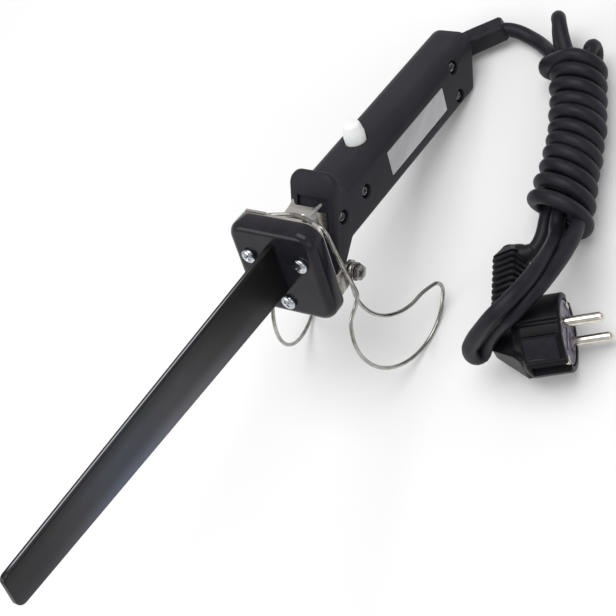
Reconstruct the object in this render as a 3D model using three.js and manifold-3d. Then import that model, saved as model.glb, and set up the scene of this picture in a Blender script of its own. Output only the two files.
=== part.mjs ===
// A mains-heated cutting knife on its wire rest, with its lead wrapped into a hank beside it.
// Millimetres, +Z up, standing on Z = 0 with the blade towards +X.
import * as THREE from "three";
import { mergeVertices } from "three/addons/utils/BufferGeometryUtils.js";
import Module from "manifold-3d";

const wasm = await Module();
wasm.setup();
const { degToRad } = THREE.MathUtils;

// Fits
const gap = 0.3;
const screwPlay = 0.35;
const buttonPlay = 0.4;

// The knife's own frame has its origin at the middle of the shield's front, X along the blade.
// It leans back by this angle, on the wire feet and the heel of the handle.
const pitch = degToRad(29.3);

// Blade
const bladeLength = 197;
const bladeThickness = 3.6;
const bladeEdgeRound = 1;
const rootTop = 17.8;
const rootBottom = -10.4;
const tipTop = 10;
const tipBottom = -8.5;
const tipTopRound = 2;
const tipBottomRound = 4.5;
const tangTop = 13;
const tangBottom = -5;
const tangLength = 17;

// Heating strip inside the blade
const stripReach = 178;
const stripTail = 2;
const stripTop = 7.5;
const stripBottom = -5;
const stripThickness = 1;

// Hand shield, a drawn dish of sheet steel
const shieldWidth = 49;
const shieldHeight = 52;
const shieldCorner = 9;
const shieldDepth = 10;
const shieldSheet = 1.2;
const shieldBend = 4;

// Blade flange and insulator behind the shield
const flangeRadius = 21.5;
const flangeThickness = 2;
const insulatorThickness = 6.2;

// Shield screws and nuts
const screwCircle = 17;
const screwAngles = [30, 150, 270];
const screwRadius = 2;
const screwHeadRadius = 3.8;
const screwHeadHeight = 2.4;
const nutAcross = 7;
const nutThickness = 3;
const screwOverhang = 1.5;

// Bracket, stamped and folded from one sheet
const bracketSheet = 1.5;
const bracketWidth = 45;
const bracketTop = 25.5;
const bracketBottom = -24;
const bracketCorner = 5;
const windowHalfWidth = 5;
const windowTop = 14;
const windowBottom = -6;
const channelSheet = 1.2;
const channelHalfWidth = 8.5;
const channelTop = 17.1;
const channelBottom = -3;
const channelRear = -66;
const channelRootHalfWidth = 13;
const channelRootLength = 8;
const reliefHalfWidth = 3;
const reliefDepth = 7;
const hookHalfWidth = 3;
const earTop = -7.9;
const earBottom = -18.3;
const earRound = 5.2;

// Wire rest
const wireRadius = 1;
const boltX = -23;
const boltZ = -12;
const boltRadius = 2;
const boltHeadThickness = 2.8;
const washerRadius = 4.5;
const washerThickness = 0.8;
const footX = -38.6;
const footRadius = 30.6;
const footTipRadius = 5.2;
const footTipAngle = 202;
const innerRadius = 28.8;
const innerX = -47.6;
const innerZ = -22.6;
const footSplayX = 0.213;
const footSplayZ = 0.108;
const wireCornerY = 16.5;

// Handle
const handleHalfWidth = 13;
const handleTop = 20.5;
const handleBottom = -10.5;
const handleTopRound = 8;
const handleBottomRound = 4;
const handleFront = -32;
const handleHeel = -168.5;
const handleRearTop = -178;
const endSlant = Math.tan(degToRad(21));
const handleAxis = 5;
const lipTop = 28;
const lipRear = -44;
const lipFoot = -50;
const guardBottom = -19.5;
const guardRear = -31.5;
const guardFoot = -41.5;
const lipRound = 6.3;
const guardRound = 4;
const sideWall = 2.8;
const topWall = 3;
const cavityFront = -44;
const cavityRear = -163;
const cavityRound = 3;
const bossRadius = 2.6;
const seatBossRadius = 4.5;

// Handle screws, driven from the left
const handleScrews = [
  [-40, 5],
  [-61, 4.5],
  [-155, 13.5],
  [-155, -4],
];
const handleScrewRadius = 1.3;
const handleScrewHead = 2.6;
const handleScrewHeadHeight = 1.7;
const recessRadius = 3.6;
const recessDepth = 2.6;
const handleScrewBite = 2;

// Rating plate, left bare
const plateFront = -84;
const plateRear = -141;
const plateTop = 10.7;
const plateBottom = -3.2;
const plateThickness = 0.5;
const plateRecess = 0.9;

// Push button, its spring and the switch under it
const buttonX = -79;
const buttonRadius = 5.4;
const buttonCrown = 4.3;
const buttonTop = 31;
const buttonFlangeRadius = 7;
const buttonFlange = 2.4;
const buttonStemRadius = 2.5;
const buttonStemEnd = 2.5;
const buttonStroke = 3;
const springRadius = 4;
const springWire = 0.45;
const springTurns = 6;
const switchLength = 21;
const switchHalfWidth = 8;
const switchTop = 5;
const switchBoreEnd = -1.5;
const tabLength = 5;
const tabHeight = 3;
const tabThickness = 0.8;

// Terminal block, cord clamp and inner leads
const blockFront = -104;
const blockRear = -118;
const blockHalfWidth = 7;
const blockTop = 1.5;
const cordAxis = 6.5;
const coreFront = -136;
const clampX = -145;
const clampLength = 8;
const clampThickness = 2.5;
const clampHalfWidth = 9;
const postY = 6.7;
const postRadius = 2.2;
const clampScrewRadius = 1;
const clampScrewHead = 2;
const clampScrewHeadHeight = 1.5;
const clampScrewBite = 8;
const leadRadius = 0.9;

// Gland, a bent rubber sleeve
const glandNeckRadius = 5.5;
const glandFlangeRadius = 6.6;
const glandFlange = 2.3;
const glandWidth = 11;
const glandCorner = 3;
const glandStart = -178;
const glandBend = [
  [-184.5, 0.5, 7.2],
  [-188, 13.5, 11],
  [-193.4, 23.4, 14.4],
];

// Mains lead: routes in floor coordinates, before the knife is centred on the origin
const cordRadius = 3.7;
const leadRoute = [
  [-175.95, 23.8, 9.5],
  [-177.1, 25.6, 9.5],
  [-177.4, 31, 6.6],
  [-174.4, 38, 5],
  [-168.6, 46.4, 8],
  [-162.6, 53.5, 12.2],
  [-160.4, 57.6, 12.8],
];
const hankTopEnd = [-152.5, 72.4];
const hankBottomEnd = [-87.5, 88.2];
const hankRadius = 15.75;
const loopRoute = [
  [-71.3, 92.1, 20.6],
  [-67.2, 92.9, 21.5],
  [-55.7, 93.4, 27.7],
  [-40.2, 91.7, 34.5],
  [-31.3, 89.3, 37.2],
  [-25, 87.1, 37.8],
  [-20.2, 78.1, 32.8],
  [-14.6, 69.3, 23.6],
  [-9.8, 63.1, 14.7],
  [-5.6, 60.7, 8.7],
  [-2.3, 60.9, 5.8],
  [1.6, 63.8, 6.4],
  [0.5, 68.5, 13],
  [-4.4, 76.6, 24.4],
  [-9.8, 86.8, 35.4],
  [-15.1, 95.5, 42.6],
  [-23.1, 100.4, 43.6],
  [-31.7, 103.4, 41.2],
  [-47.6, 105.7, 34.4],
  [-62.2, 105.3, 27],
  [-72.1, 102.8, 22],
  [-75.3, 99.6, 21],
];
const tailRoute = [
  [-52.5, 70.7, 13.2],
  [-55.2, 69.8, 12.7],
  [-57.2, 70.6, 12.2],
  [-58.2, 72.7, 12],
  [-59.6, 75.6, 11.9],
  [-61.8, 78.6, 11.9],
  [-65, 80.4, 12.1],
  [-68, 81.1, 12.3],
  [-71.2, 81.6, 12.4],
];

// Angled plug
const plugFace = [-19.4, 114.5, 18.9];
const plugTurn = degToRad(112.8);
const plugDip = degToRad(5.4);
const plugRoll = degToRad(-8.9);
const plugRadius = 19;
const plugBarrel = 19;
const plugCone = 5;
const plugFlat = 22;
const plugDepth = 37;
const plugHalf = 10;
const plugLow = -16.5;
const plugRearTop = -2;
const plugRearLow = -3;
const plugRearHigh = 17;
const plugFaceDepth = 2;
const plugFaceRadius = 15.6;
const keyHalfWidth = 0.9;
const keyDepth = 1;
const keyOffset = 3.4;
const pinRadius = 2.4;
const pinLength = 19;
const pinSpacing = 19;
const pinRoot = 4;
const clipHalfWidth = 3.2;
const clipLength = 17;
const clipThickness = 0.8;
const clipInset = 1.3;
const reliefOffset = -28;
const reliefStandoff = 1.2;
const reliefEnd = [-51.2, 71.2, 13.5];
const reliefTurn = degToRad(43.1);
const reliefWidth = 13.8;
const reliefCore = 10.4;
const reliefRibs = 8;
const reliefCap = 1;
const reliefMouth = 4.3;

const finishes = {
  bladeBlack: { color: 0x17181c, roughness: 0.42, metalness: 0.55 },
  shieldBlack: { color: 0x141416, roughness: 0.2, metalness: 0.3 },
  zinc: { color: 0xc3c8ce, roughness: 0.3, metalness: 1 },
  nickel: { color: 0xb9b5ad, roughness: 0.32, metalness: 1 },
  wire: { color: 0xa8a8a6, roughness: 0.22, metalness: 1 },
  handle: { color: 0x1c1d20, roughness: 0.58, metalness: 0 },
  label: { color: 0xa9abb0, roughness: 0.45, metalness: 0.5 },
  white: { color: 0xecece8, roughness: 0.4, metalness: 0 },
  ceramic: { color: 0xd9d3c4, roughness: 0.7, metalness: 0 },
  mica: { color: 0xb09a72, roughness: 0.6, metalness: 0 },
  switchGrey: { color: 0x55585c, roughness: 0.5, metalness: 0 },
  brass: { color: 0xb98f43, roughness: 0.35, metalness: 1 },
  rubber: { color: 0x1b1b1d, roughness: 0.7, metalness: 0 },
  plugBlack: { color: 0x161618, roughness: 0.45, metalness: 0 },
  plugGrey: { color: 0x4d4c55, roughness: 0.5, metalness: 0 },
  leadBrown: { color: 0x5a3a28, roughness: 0.6, metalness: 0 },
  leadBlue: { color: 0x3a5f93, roughness: 0.6, metalness: 0 },
};

// A closed geometry as a solid that can be cut and joined, with its faces pointing out.
function solid(geometry) {
  const loose = geometry.index ? geometry.toNonIndexed() : geometry;
  const bare = new THREE.BufferGeometry();
  bare.setAttribute("position", loose.getAttribute("position"));
  const merged = mergeVertices(bare, 1e-3);
  const corners = merged.index.array;
  const kept = [];
  for (let i = 0; i < corners.length; i += 3) {
    const [a, b, c] = corners.slice(i, i + 3);
    if (a !== b && b !== c && c !== a) kept.push(a, b, c);
  }
  const made = fromTriangles(merged.attributes.position.array, kept);
  return made.volume() < 0 ? fromTriangles(merged.attributes.position.array, kept.reverse()) : made;
}

function fromTriangles(points, corners) {
  const mesh = new wasm.Mesh({
    numProp: 3,
    vertProperties: points,
    triVerts: new Uint32Array(corners),
  });
  return new wasm.Manifold(mesh);
}

function geometryOf(body) {
  const mesh = body.getMesh();
  const geometry = new THREE.BufferGeometry();
  geometry.setAttribute("position", new THREE.BufferAttribute(mesh.vertProperties, 3));
  geometry.setIndex(new THREE.BufferAttribute(mesh.triVerts, 1));
  geometry.computeVertexNormals();
  return geometry;
}

function joined(...bodies) {
  return bodies.reduce((whole, body) => whole.add(body));
}

function cut(body, ...tools) {
  return tools.reduce((left, tool) => left.subtract(tool), body);
}

function outline(points) {
  return new THREE.Shape(points.map(([a, b]) => new THREE.Vector2(a, b)));
}

// A rectangle with a radius for its lower and its upper corners.
function roundedRectangle(left, right, bottom, top, lowRound, highRound = lowRound) {
  const shape = new THREE.Shape();
  shape.moveTo(left + lowRound, bottom);
  shape.lineTo(right - lowRound, bottom);
  shape.absarc(right - lowRound, bottom + lowRound, lowRound, -Math.PI / 2, 0);
  shape.lineTo(right, top - highRound);
  shape.absarc(right - highRound, top - highRound, highRound, 0, Math.PI / 2);
  shape.lineTo(left + highRound, top);
  shape.absarc(left + highRound, top - highRound, highRound, Math.PI / 2, Math.PI);
  shape.lineTo(left, bottom + lowRound);
  shape.absarc(left + lowRound, bottom + lowRound, lowRound, Math.PI, Math.PI * 1.5);
  return shape;
}

function centredRectangle(width, height, round) {
  return roundedRectangle(-width / 2, width / 2, -height / 2, height / 2, round);
}

// A hexagon about a place in its plane, with an optional round hole.
function hexagon(across, [right, up], holeRadius) {
  const corner = across / Math.sqrt(3);
  const turns = [0, 1, 2, 3, 4, 5].map((i) => (i * Math.PI) / 3);
  const shape = outline(turns.map((a) => [right + corner * Math.cos(a), up + corner * Math.sin(a)]));
  if (holeRadius) {
    shape.holes.push(new THREE.Path().absarc(right, up, holeRadius, 0, Math.PI * 2, true));
  }
  return shape;
}

const flat = { bevelEnabled: false, curveSegments: 6 };
const axes = {
  x: new THREE.Vector3(1, 0, 0),
  y: new THREE.Vector3(0, 1, 0),
  z: new THREE.Vector3(0, 0, 1),
};

// Prisms: drawn in Y and Z along X, in X and Z along Y, in X and Y along Z.
function alongX(shape, from, to, style = flat) {
  const geometry = new THREE.ExtrudeGeometry(shape, { ...style, depth: to - from });
  const turn = new THREE.Matrix4().makeBasis(axes.y, axes.z, axes.x);
  return solid(geometry.applyMatrix4(turn).translate(from, 0, 0));
}

function alongY(shape, from, to, style = flat) {
  const geometry = new THREE.ExtrudeGeometry(shape, { ...style, depth: to - from });
  return solid(geometry.rotateX(Math.PI / 2).translate(0, to, 0));
}

function alongZ(shape, from, to, style = flat) {
  const geometry = new THREE.ExtrudeGeometry(shape, { ...style, depth: to - from });
  return solid(geometry.translate(0, 0, from));
}

function block(x0, x1, y0, y1, z0, z1) {
  const geometry = new THREE.BoxGeometry(x1 - x0, y1 - y0, z1 - z0);
  return solid(geometry.translate((x0 + x1) / 2, (y0 + y1) / 2, (z0 + z1) / 2));
}

function rod(axis, radius, from, to, centre, sides = 20) {
  const geometry = new THREE.CylinderGeometry(radius, radius, to - from, sides);
  geometry.applyQuaternion(new THREE.Quaternion().setFromUnitVectors(axes.y, axes[axis]));
  const middle = axes[axis].clone().multiplyScalar((from + to) / 2);
  return solid(geometry.translate(...middle.add(new THREE.Vector3(...centre)).toArray()));
}

// A turned piece: pairs of radius and place along the axis.
function turned(axis, profile, centre, sides = 20) {
  const points = profile.map(([radius, place]) => new THREE.Vector2(radius, place));
  const geometry = new THREE.LatheGeometry(points, sides);
  geometry.applyQuaternion(new THREE.Quaternion().setFromUnitVectors(axes.y, axes[axis]));
  return solid(geometry.translate(...centre));
}

function curveThrough(points) {
  const places = points.map((p) => new THREE.Vector3(...p));
  return new THREE.CatmullRomCurve3(places, false, "centripetal");
}

function circle(radius, sides) {
  const turns = Array.from({ length: sides }, (_, i) => (i * 2 * Math.PI) / sides);
  return outline(turns.map((a) => [radius * Math.cos(a), radius * Math.sin(a)]));
}

function sweep(shape, path, steps) {
  return solid(new THREE.ExtrudeGeometry(shape, { steps, extrudePath: path, curveSegments: 3 }));
}

function arc(centreX, centreZ, radius, fromDegrees, toDegrees, count) {
  return Array.from({ length: count }, (_, i) => {
    const angle = degToRad(fromDegrees + ((toDegrees - fromDegrees) * i) / (count - 1));
    return [centreX + radius * Math.cos(angle), centreZ + radius * Math.sin(angle)];
  });
}

const knife = new THREE.Group();
knife.rotation.y = -pitch;
const lead = new THREE.Group();
const root = new THREE.Group();
root.add(knife, lead);

function piece(group, name, body, finish) {
  const mesh = new THREE.Mesh(geometryOf(body), new THREE.MeshStandardMaterial(finishes[finish]));
  mesh.name = name;
  group.add(mesh);
}

const screwPlaces = screwAngles.map((degrees) => [
  screwCircle * Math.cos(degToRad(degrees)),
  screwCircle * Math.sin(degToRad(degrees)),
]);
const halfBlade = bladeThickness / 2;
const flangeFront = -shieldSheet - gap;
const insulatorFront = flangeFront - flangeThickness - gap;
const bracketFront = Math.min(-shieldDepth, insulatorFront - insulatorThickness) - gap;
const bracketRear = bracketFront - bracketSheet;

// Holes for the three shield screws, through a plate between two places on X.
function screwHoles(from, to) {
  return screwPlaces.map(([y, z]) => rod("x", screwRadius + screwPlay, from, to, [0, y, z], 16));
}

// The tang's slot, wide enough for the tang and its clearance.
function tangSlot(from, to) {
  const side = halfBlade + gap;
  return block(from, to, -side, side, tangBottom - gap, tangTop + gap);
}

function makeBlade() {
  const side = new THREE.Shape();
  side.moveTo(gap, rootBottom);
  side.lineTo(bladeLength - tipBottomRound, tipBottom);
  side.quadraticCurveTo(bladeLength, tipBottom, bladeLength, tipBottom + tipBottomRound);
  side.lineTo(bladeLength, tipTop - tipTopRound);
  side.quadraticCurveTo(bladeLength, tipTop, bladeLength - tipTopRound, tipTop);
  side.lineTo(gap, rootTop);
  side.lineTo(gap, tangTop);
  side.lineTo(-tangLength, tangTop);
  side.lineTo(-tangLength, tangBottom);
  side.lineTo(gap, tangBottom);
  const style = {
    curveSegments: 5,
    bevelSegments: 2,
    bevelThickness: bladeEdgeRound,
    bevelSize: bladeEdgeRound,
    bevelOffset: -bladeEdgeRound,
  };
  const core = halfBlade - bladeEdgeRound;
  const bar = alongY(side, -core, core, style);
  const play = stripThickness / 2 + gap;
  const pocketEnd = -tangLength - 1;
  const pocket = block(pocketEnd, stripReach + gap, -play, play, stripBottom - gap, stripTop + gap);
  piece(knife, "blade", cut(bar, pocket), "bladeBlack");
  const half = stripThickness / 2;
  const strip = block(-tangLength - stripTail, stripReach, -half, half, stripBottom, stripTop);
  piece(knife, "heating_strip", strip, "mica");
}

function dish(inset, front, depth) {
  const round = shieldBend - inset;
  const width = shieldWidth - 2 * inset;
  const height = shieldHeight - 2 * inset;
  const shape = centredRectangle(width, height, shieldCorner - inset);
  const style = {
    curveSegments: 5,
    bevelSegments: 4,
    bevelThickness: round,
    bevelSize: round,
    bevelOffset: -round,
  };
  return alongX(shape, front - round - depth, front - round, style);
}

function makeShield() {
  const inner = dish(shieldSheet, -shieldSheet, 2 * shieldDepth);
  const keep = block(-shieldDepth, 1, -shieldWidth, shieldWidth, -shieldHeight, shieldHeight);
  const shell = dish(0, 0, 2 * shieldDepth).intersect(keep);
  const openings = [tangSlot(-shieldDepth, 1), ...screwHoles(-shieldDepth, 1)];
  piece(knife, "hand_shield", cut(shell, inner, ...openings), "shieldBlack");

  const flangeRear = flangeFront - flangeThickness;
  const flange = rod("x", flangeRadius, flangeRear, flangeFront, [0, 0, 0], 36);
  const flangeCuts = [tangSlot(flangeRear - 1, 0), ...screwHoles(flangeRear - 1, 0)];
  piece(knife, "blade_flange", cut(flange, ...flangeCuts), "nickel");

  const insulatorRear = bracketFront + gap;
  const disc = rod("x", flangeRadius, insulatorRear, insulatorFront, [0, 0, 0], 36);
  const discCuts = [tangSlot(insulatorRear - 1, 0), ...screwHoles(insulatorRear - 1, 0)];
  piece(knife, "ceramic_insulator", cut(disc, ...discCuts), "ceramic");
}

function makeShieldScrews() {
  const nutFront = bracketRear - gap;
  const end = nutFront - nutThickness - screwOverhang;
  const dome = screwHeadHeight * 0.55;
  const profile = [
    [0, end],
    [screwRadius, end],
    [screwRadius, gap],
    [screwHeadRadius, gap],
    [screwHeadRadius, gap + dome],
    [screwHeadRadius * 0.72, gap + screwHeadHeight * 0.9],
    [0, gap + screwHeadHeight],
  ];
  screwPlaces.forEach(([y, z], i) => {
    piece(knife, `shield_screw_${i + 1}`, turned("x", profile, [0, y, z]), "zinc");
    const nutShape = hexagon(nutAcross, [y, z], screwRadius + screwPlay);
    const nut = alongX(nutShape, nutFront - nutThickness, nutFront);
    piece(knife, `shield_nut_${i + 1}`, nut, "zinc");
  });
}

const channelWebRear = bracketRear - channelRootLength;
const crossbarX = bracketRear - gap - wireRadius;
const crossbarZ = channelTop + gap + wireRadius;
const earOuter = bracketWidth / 2;
const earInner = earOuter - channelSheet;
const ringY = earOuter + gap + wireRadius;
const washerY = ringY + wireRadius + gap;
const boltHeadY = washerY + washerThickness + gap;
const boltEnd = earInner - gap - nutThickness - screwOverhang;

function makeBracket() {
  const half = bracketWidth / 2;
  const plate = alongX(
    roundedRectangle(-half, half, bracketBottom, bracketTop, bracketCorner),
    bracketRear,
    bracketFront,
  );
  const window = block(bracketRear - 1, 0, -windowHalfWidth, windowHalfWidth, windowBottom, windowTop);
  const reliefs = [-1, 1].map((side) => {
    const y = side * (channelRootHalfWidth + reliefHalfWidth);
    const bottom = bracketTop - reliefDepth;
    return block(bracketRear - 1, 0, y - reliefHalfWidth, y + reliefHalfWidth, bottom, bracketTop + 1);
  });

  // The tongue narrows in two curves from its wide root to the channel's width.
  const web = new THREE.Shape();
  web.moveTo(bracketRear, -channelRootHalfWidth);
  web.quadraticCurveTo(bracketRear - 2, -channelHalfWidth, channelWebRear, -channelHalfWidth);
  web.lineTo(channelRear, -channelHalfWidth);
  web.lineTo(channelRear, channelHalfWidth);
  web.lineTo(channelWebRear, channelHalfWidth);
  web.quadraticCurveTo(bracketRear - 2, channelHalfWidth, bracketRear, channelRootHalfWidth);
  web.lineTo(bracketFront, channelRootHalfWidth);
  web.lineTo(bracketFront, -channelRootHalfWidth);
  const tongue = alongZ(web, channelTop - channelSheet, channelTop);
  const cheekInner = channelHalfWidth - channelSheet;
  const cheeks = [-1, 1].map((side) => {
    const [near, far] = [side * cheekInner, side * channelHalfWidth].sort((a, b) => a - b);
    return block(channelRear, channelWebRear, near, far, channelBottom, channelTop - channelSheet / 2);
  });

  // A lanced hook holds the wire's crossbar down.
  const hookRear = crossbarX - wireRadius - gap - channelSheet;
  const hookUnder = crossbarZ + wireRadius + gap;
  const hookTop = hookUnder + channelSheet;
  const hookRoot = channelTop - channelSheet / 2;
  const post = block(hookRear, hookRear + channelSheet, -hookHalfWidth, hookHalfWidth, hookRoot, hookTop);
  const finger = block(hookRear, crossbarX, -hookHalfWidth, hookHalfWidth, hookUnder, hookTop);

  const ears = [-1, 1].map((side) => {
    const shape = new THREE.Shape();
    shape.moveTo(bracketFront, earBottom);
    shape.lineTo(bracketFront, earTop);
    shape.absarc(boltX, boltZ, earRound, Math.PI / 2, Math.PI * 1.5);
    const [near, far] = [side * earInner, side * earOuter].sort((a, b) => a - b);
    return alongY(shape, near, far);
  });
  const earHoles = rod("y", boltRadius + screwPlay, -half - 1, half + 1, [boltX, 0, boltZ], 16);
  const webHoles = handleScrews
    .filter(([x]) => x > channelRear)
    .map(([x, z]) => rod("y", handleScrewRadius + screwPlay, -half, half, [x, 0, z], 16));
  const sheet = joined(plate, tongue, ...cheeks, post, finger, ...ears);
  const holes = [window, ...reliefs, earHoles, ...webHoles, ...screwHoles(bracketRear - 1, 0)];
  piece(knife, "stand_bracket", cut(sheet, ...holes), "nickel");
}

// Height of the floor in the knife's frame, measured along the floor's normal.
const heelHeight = Math.sin(pitch) * handleHeel + Math.cos(pitch) * handleBottom;

function makeWireRest() {
  const outerHeight = heelHeight + wireRadius + footRadius;
  const footZ = (outerHeight - Math.sin(pitch) * footX) / Math.cos(pitch);
  const tipReach = footRadius - footTipRadius;
  const tipAngle = degToRad(footTipAngle);
  const tipX = footX + tipReach * Math.cos(tipAngle);
  const tipZ = footZ + tipReach * Math.sin(tipAngle);
  const ringRadius = boltRadius + screwPlay + wireRadius;
  const strandX = boltX + ringRadius;
  const neckZ = boltZ - 9;
  const splayed = ([x, z]) => [x, ringY + footSplayX * (strandX - x) + footSplayZ * (neckZ - z), z];

  // From the eye round the bolt, along the foot's upper side, round its tip and sole, and up.
  const eye = arc(boltX, boltZ, ringRadius, 262, 10, 9).map(([x, z]) => [x, ringY, z]);
  const upper = arc(innerX, innerZ, innerRadius, -4, -103, 8).map(splayed);
  const tip = arc(tipX, tipZ, footTipRadius, 92, footTipAngle - 8, 4).map(splayed);
  const sole = arc(footX, footZ, footRadius, footTipAngle - 360 + 4, 26, 12).map(splayed);
  const neck = [
    [strandX + 4.6, ringY + 1.4, neckZ - 6.4],
    [strandX + 2.6, ringY + 3, neckZ],
  ];
  const corner = [
    [crossbarX - 0.6, wireCornerY + 1.3, crossbarZ - 3.6],
    [crossbarX, wireCornerY - 1, crossbarZ - 0.5],
    [crossbarX, wireCornerY - 4, crossbarZ],
  ];
  const half = [...eye, ...upper, ...tip, ...sole, ...neck, ...corner];
  const mirrored = half.map(([x, y, z]) => [x, -y, z]).reverse();
  const route = curveThrough([...half, [crossbarX, 0, crossbarZ], ...mirrored]);
  piece(knife, "stand_wire", sweep(circle(wireRadius, 8), route, 170), "wire");

  const nutShape = hexagon(nutAcross, [boltX, boltZ], boltRadius + screwPlay);
  const headShape = hexagon(nutAcross, [boltX, boltZ]);
  const at = [boltX, 0, boltZ];
  const hole = rod("y", boltRadius + screwPlay, -bracketWidth, bracketWidth, at, 16);
  [["left", 1], ["right", -1]].forEach(([name, side]) => {
    const span = (a, b) => [side * a, side * b].sort((p, q) => p - q);
    const head = alongY(headShape, ...span(boltHeadY, boltHeadY + boltHeadThickness));
    const shank = rod("y", boltRadius, ...span(boltEnd, boltHeadY + 0.5), at, 16);
    piece(knife, `stand_bolt_${name}`, joined(head, shank), "zinc");
    const disc = rod("y", washerRadius, ...span(washerY, washerY + washerThickness), at);
    piece(knife, `stand_washer_${name}`, cut(disc, hole), "zinc");
    const nut = alongY(nutShape, ...span(earInner - gap - nutThickness, earInner - gap));
    piece(knife, `stand_nut_${name}`, nut, "zinc");
  });
}

const frontAt = (z) => handleFront - (z - handleAxis) * endSlant;
const cavityTop = handleTop - topWall;
const cavityBottom = handleBottom + topWall;
const cavityHalf = handleHalfWidth - sideWall;
const buttonFlangeTop = cavityTop - gap;
const recessFloor = handleHalfWidth - recessDepth;

function handleBody() {
  const wide = handleHalfWidth;
  const side = outline([
    [frontAt(handleTop), handleTop],
    [frontAt(handleBottom), handleBottom],
    [handleHeel, handleBottom],
    [handleRearTop, handleTop],
  ]);
  const section = roundedRectangle(-wide, wide, handleBottom, handleTop, handleBottomRound, handleTopRound);
  const reach = handleRearTop - 1;
  const grip = alongY(side, -wide, wide).intersect(alongX(section, reach, 0));

  // The front flares into a lip above and a finger guard below.
  const lipSide = outline([
    [frontAt(lipTop), lipTop],
    [frontAt(handleAxis), handleAxis],
    [lipFoot, handleAxis],
    [lipFoot, handleTop - 1],
    [lipRear - 2, handleTop + 2.5],
    [lipRear, lipTop],
  ]);
  const lipSection = roundedRectangle(-wide, wide, handleBottom, lipTop, handleBottomRound, lipRound);
  const lip = alongY(lipSide, -wide, wide).intersect(alongX(lipSection, reach, 0));
  const guardSide = outline([
    [frontAt(handleAxis), handleAxis],
    [frontAt(guardBottom), guardBottom],
    [guardRear, guardBottom],
    [guardFoot, handleBottom],
    [guardFoot, handleAxis],
  ]);
  const guard = alongY(guardSide, -wide + guardRound, wide - guardRound, {
    bevelSegments: 3,
    bevelThickness: guardRound,
    bevelSize: guardRound,
    bevelOffset: -guardRound,
  });

  const room = roundedRectangle(-cavityHalf, cavityHalf, cavityBottom, cavityTop, cavityRound);
  const cavity = alongX(room, cavityRear, cavityFront);
  const throat = channelHalfWidth + gap;
  const mouth = block(cavityFront - 1, 0, -throat, throat, channelBottom - gap, channelTop + gap);
  const buttonBore = rod("z", buttonRadius + buttonPlay, cavityTop - 1, handleTop + 1, [buttonX, 0, 0], 32);
  const glandBore = rod("x", glandNeckRadius + gap, reach, cavityRear + 1, [0, 0, cordAxis], 28);
  return cut(joined(grip, lip, guard), cavity, mouth, buttonBore, glandBore);
}

function makeHandle() {
  const body = handleBody();
  const far = 300;
  const recesses = handleScrews.map(([x, z]) =>
    rod("y", recessRadius, recessFloor, handleHalfWidth + 1, [x, 0, z], 20),
  );
  const shankHoles = handleScrews.map(([x, z]) =>
    rod("y", handleScrewRadius + screwPlay, -handleHalfWidth + handleScrewBite / 2, far, [x, 0, z], 16),
  );
  const plate = block(
    plateRear - gap,
    plateFront + gap,
    handleHalfWidth - plateRecess,
    handleHalfWidth + 1,
    plateBottom - gap,
    plateTop + gap,
  );
  const postTop = cordAxis + cordRadius + gap;
  ["left", "right"].forEach((name, i) => {
    const mirror = i === 0 ? 1 : -1;
    const span = (a, b) => [mirror * a, mirror * b].sort((p, q) => p - q);
    const keep = block(-far, far, ...span(gap / 2, far), -far, far);
    const bosses = handleScrews.map(([x, z]) => {
      const inChannel = x > channelRear;
      const radius = inChannel ? seatBossRadius : bossRadius;
      const inner = inChannel ? channelHalfWidth + gap : gap / 2;
      return rod("y", radius, ...span(inner, cavityHalf + 1), [x, 0, z], 20);
    });
    const post = rod("z", postRadius, cavityBottom - 1, postTop - gap, [clampX, mirror * postY, 0], 16);
    const postHole = rod(
      "z",
      clampScrewRadius + screwPlay,
      postTop - clampScrewBite - gap,
      postTop + 1,
      [clampX, mirror * postY, 0],
      12,
    );
    const tools = mirror > 0 ? [...recesses, plate, ...shankHoles, postHole] : [...shankHoles, postHole];
    const shell = cut(joined(body.intersect(keep), ...bosses, post), ...tools);
    piece(knife, `handle_${name}_shell`, shell, "handle");
  });

  const headSeat = recessFloor + gap;
  const profile = [
    [0, -handleHalfWidth + handleScrewBite],
    [handleScrewRadius, -handleHalfWidth + handleScrewBite],
    [handleScrewRadius, headSeat],
    [handleScrewHead, headSeat],
    [handleScrewHead, headSeat + handleScrewHeadHeight * 0.6],
    [handleScrewHead * 0.7, headSeat + handleScrewHeadHeight],
    [0, headSeat + handleScrewHeadHeight],
  ];
  handleScrews.forEach(([x, z], i) => {
    piece(knife, `handle_screw_${i + 1}`, turned("y", profile, [x, 0, z], 16), "zinc");
  });

  const plateInner = handleHalfWidth - plateRecess + gap;
  const plateOuter = plateInner + plateThickness;
  const label = block(plateRear, plateFront, plateInner, plateOuter, plateBottom, plateTop);
  piece(knife, "rating_plate", label, "label");
}

const switchRear = buttonX - switchLength / 2;
const switchFront = buttonX + switchLength / 2;
const switchBottom = cavityBottom + gap;
const springBottom = switchTop + gap;
const springTop = buttonFlangeTop - buttonFlange - gap;

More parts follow.
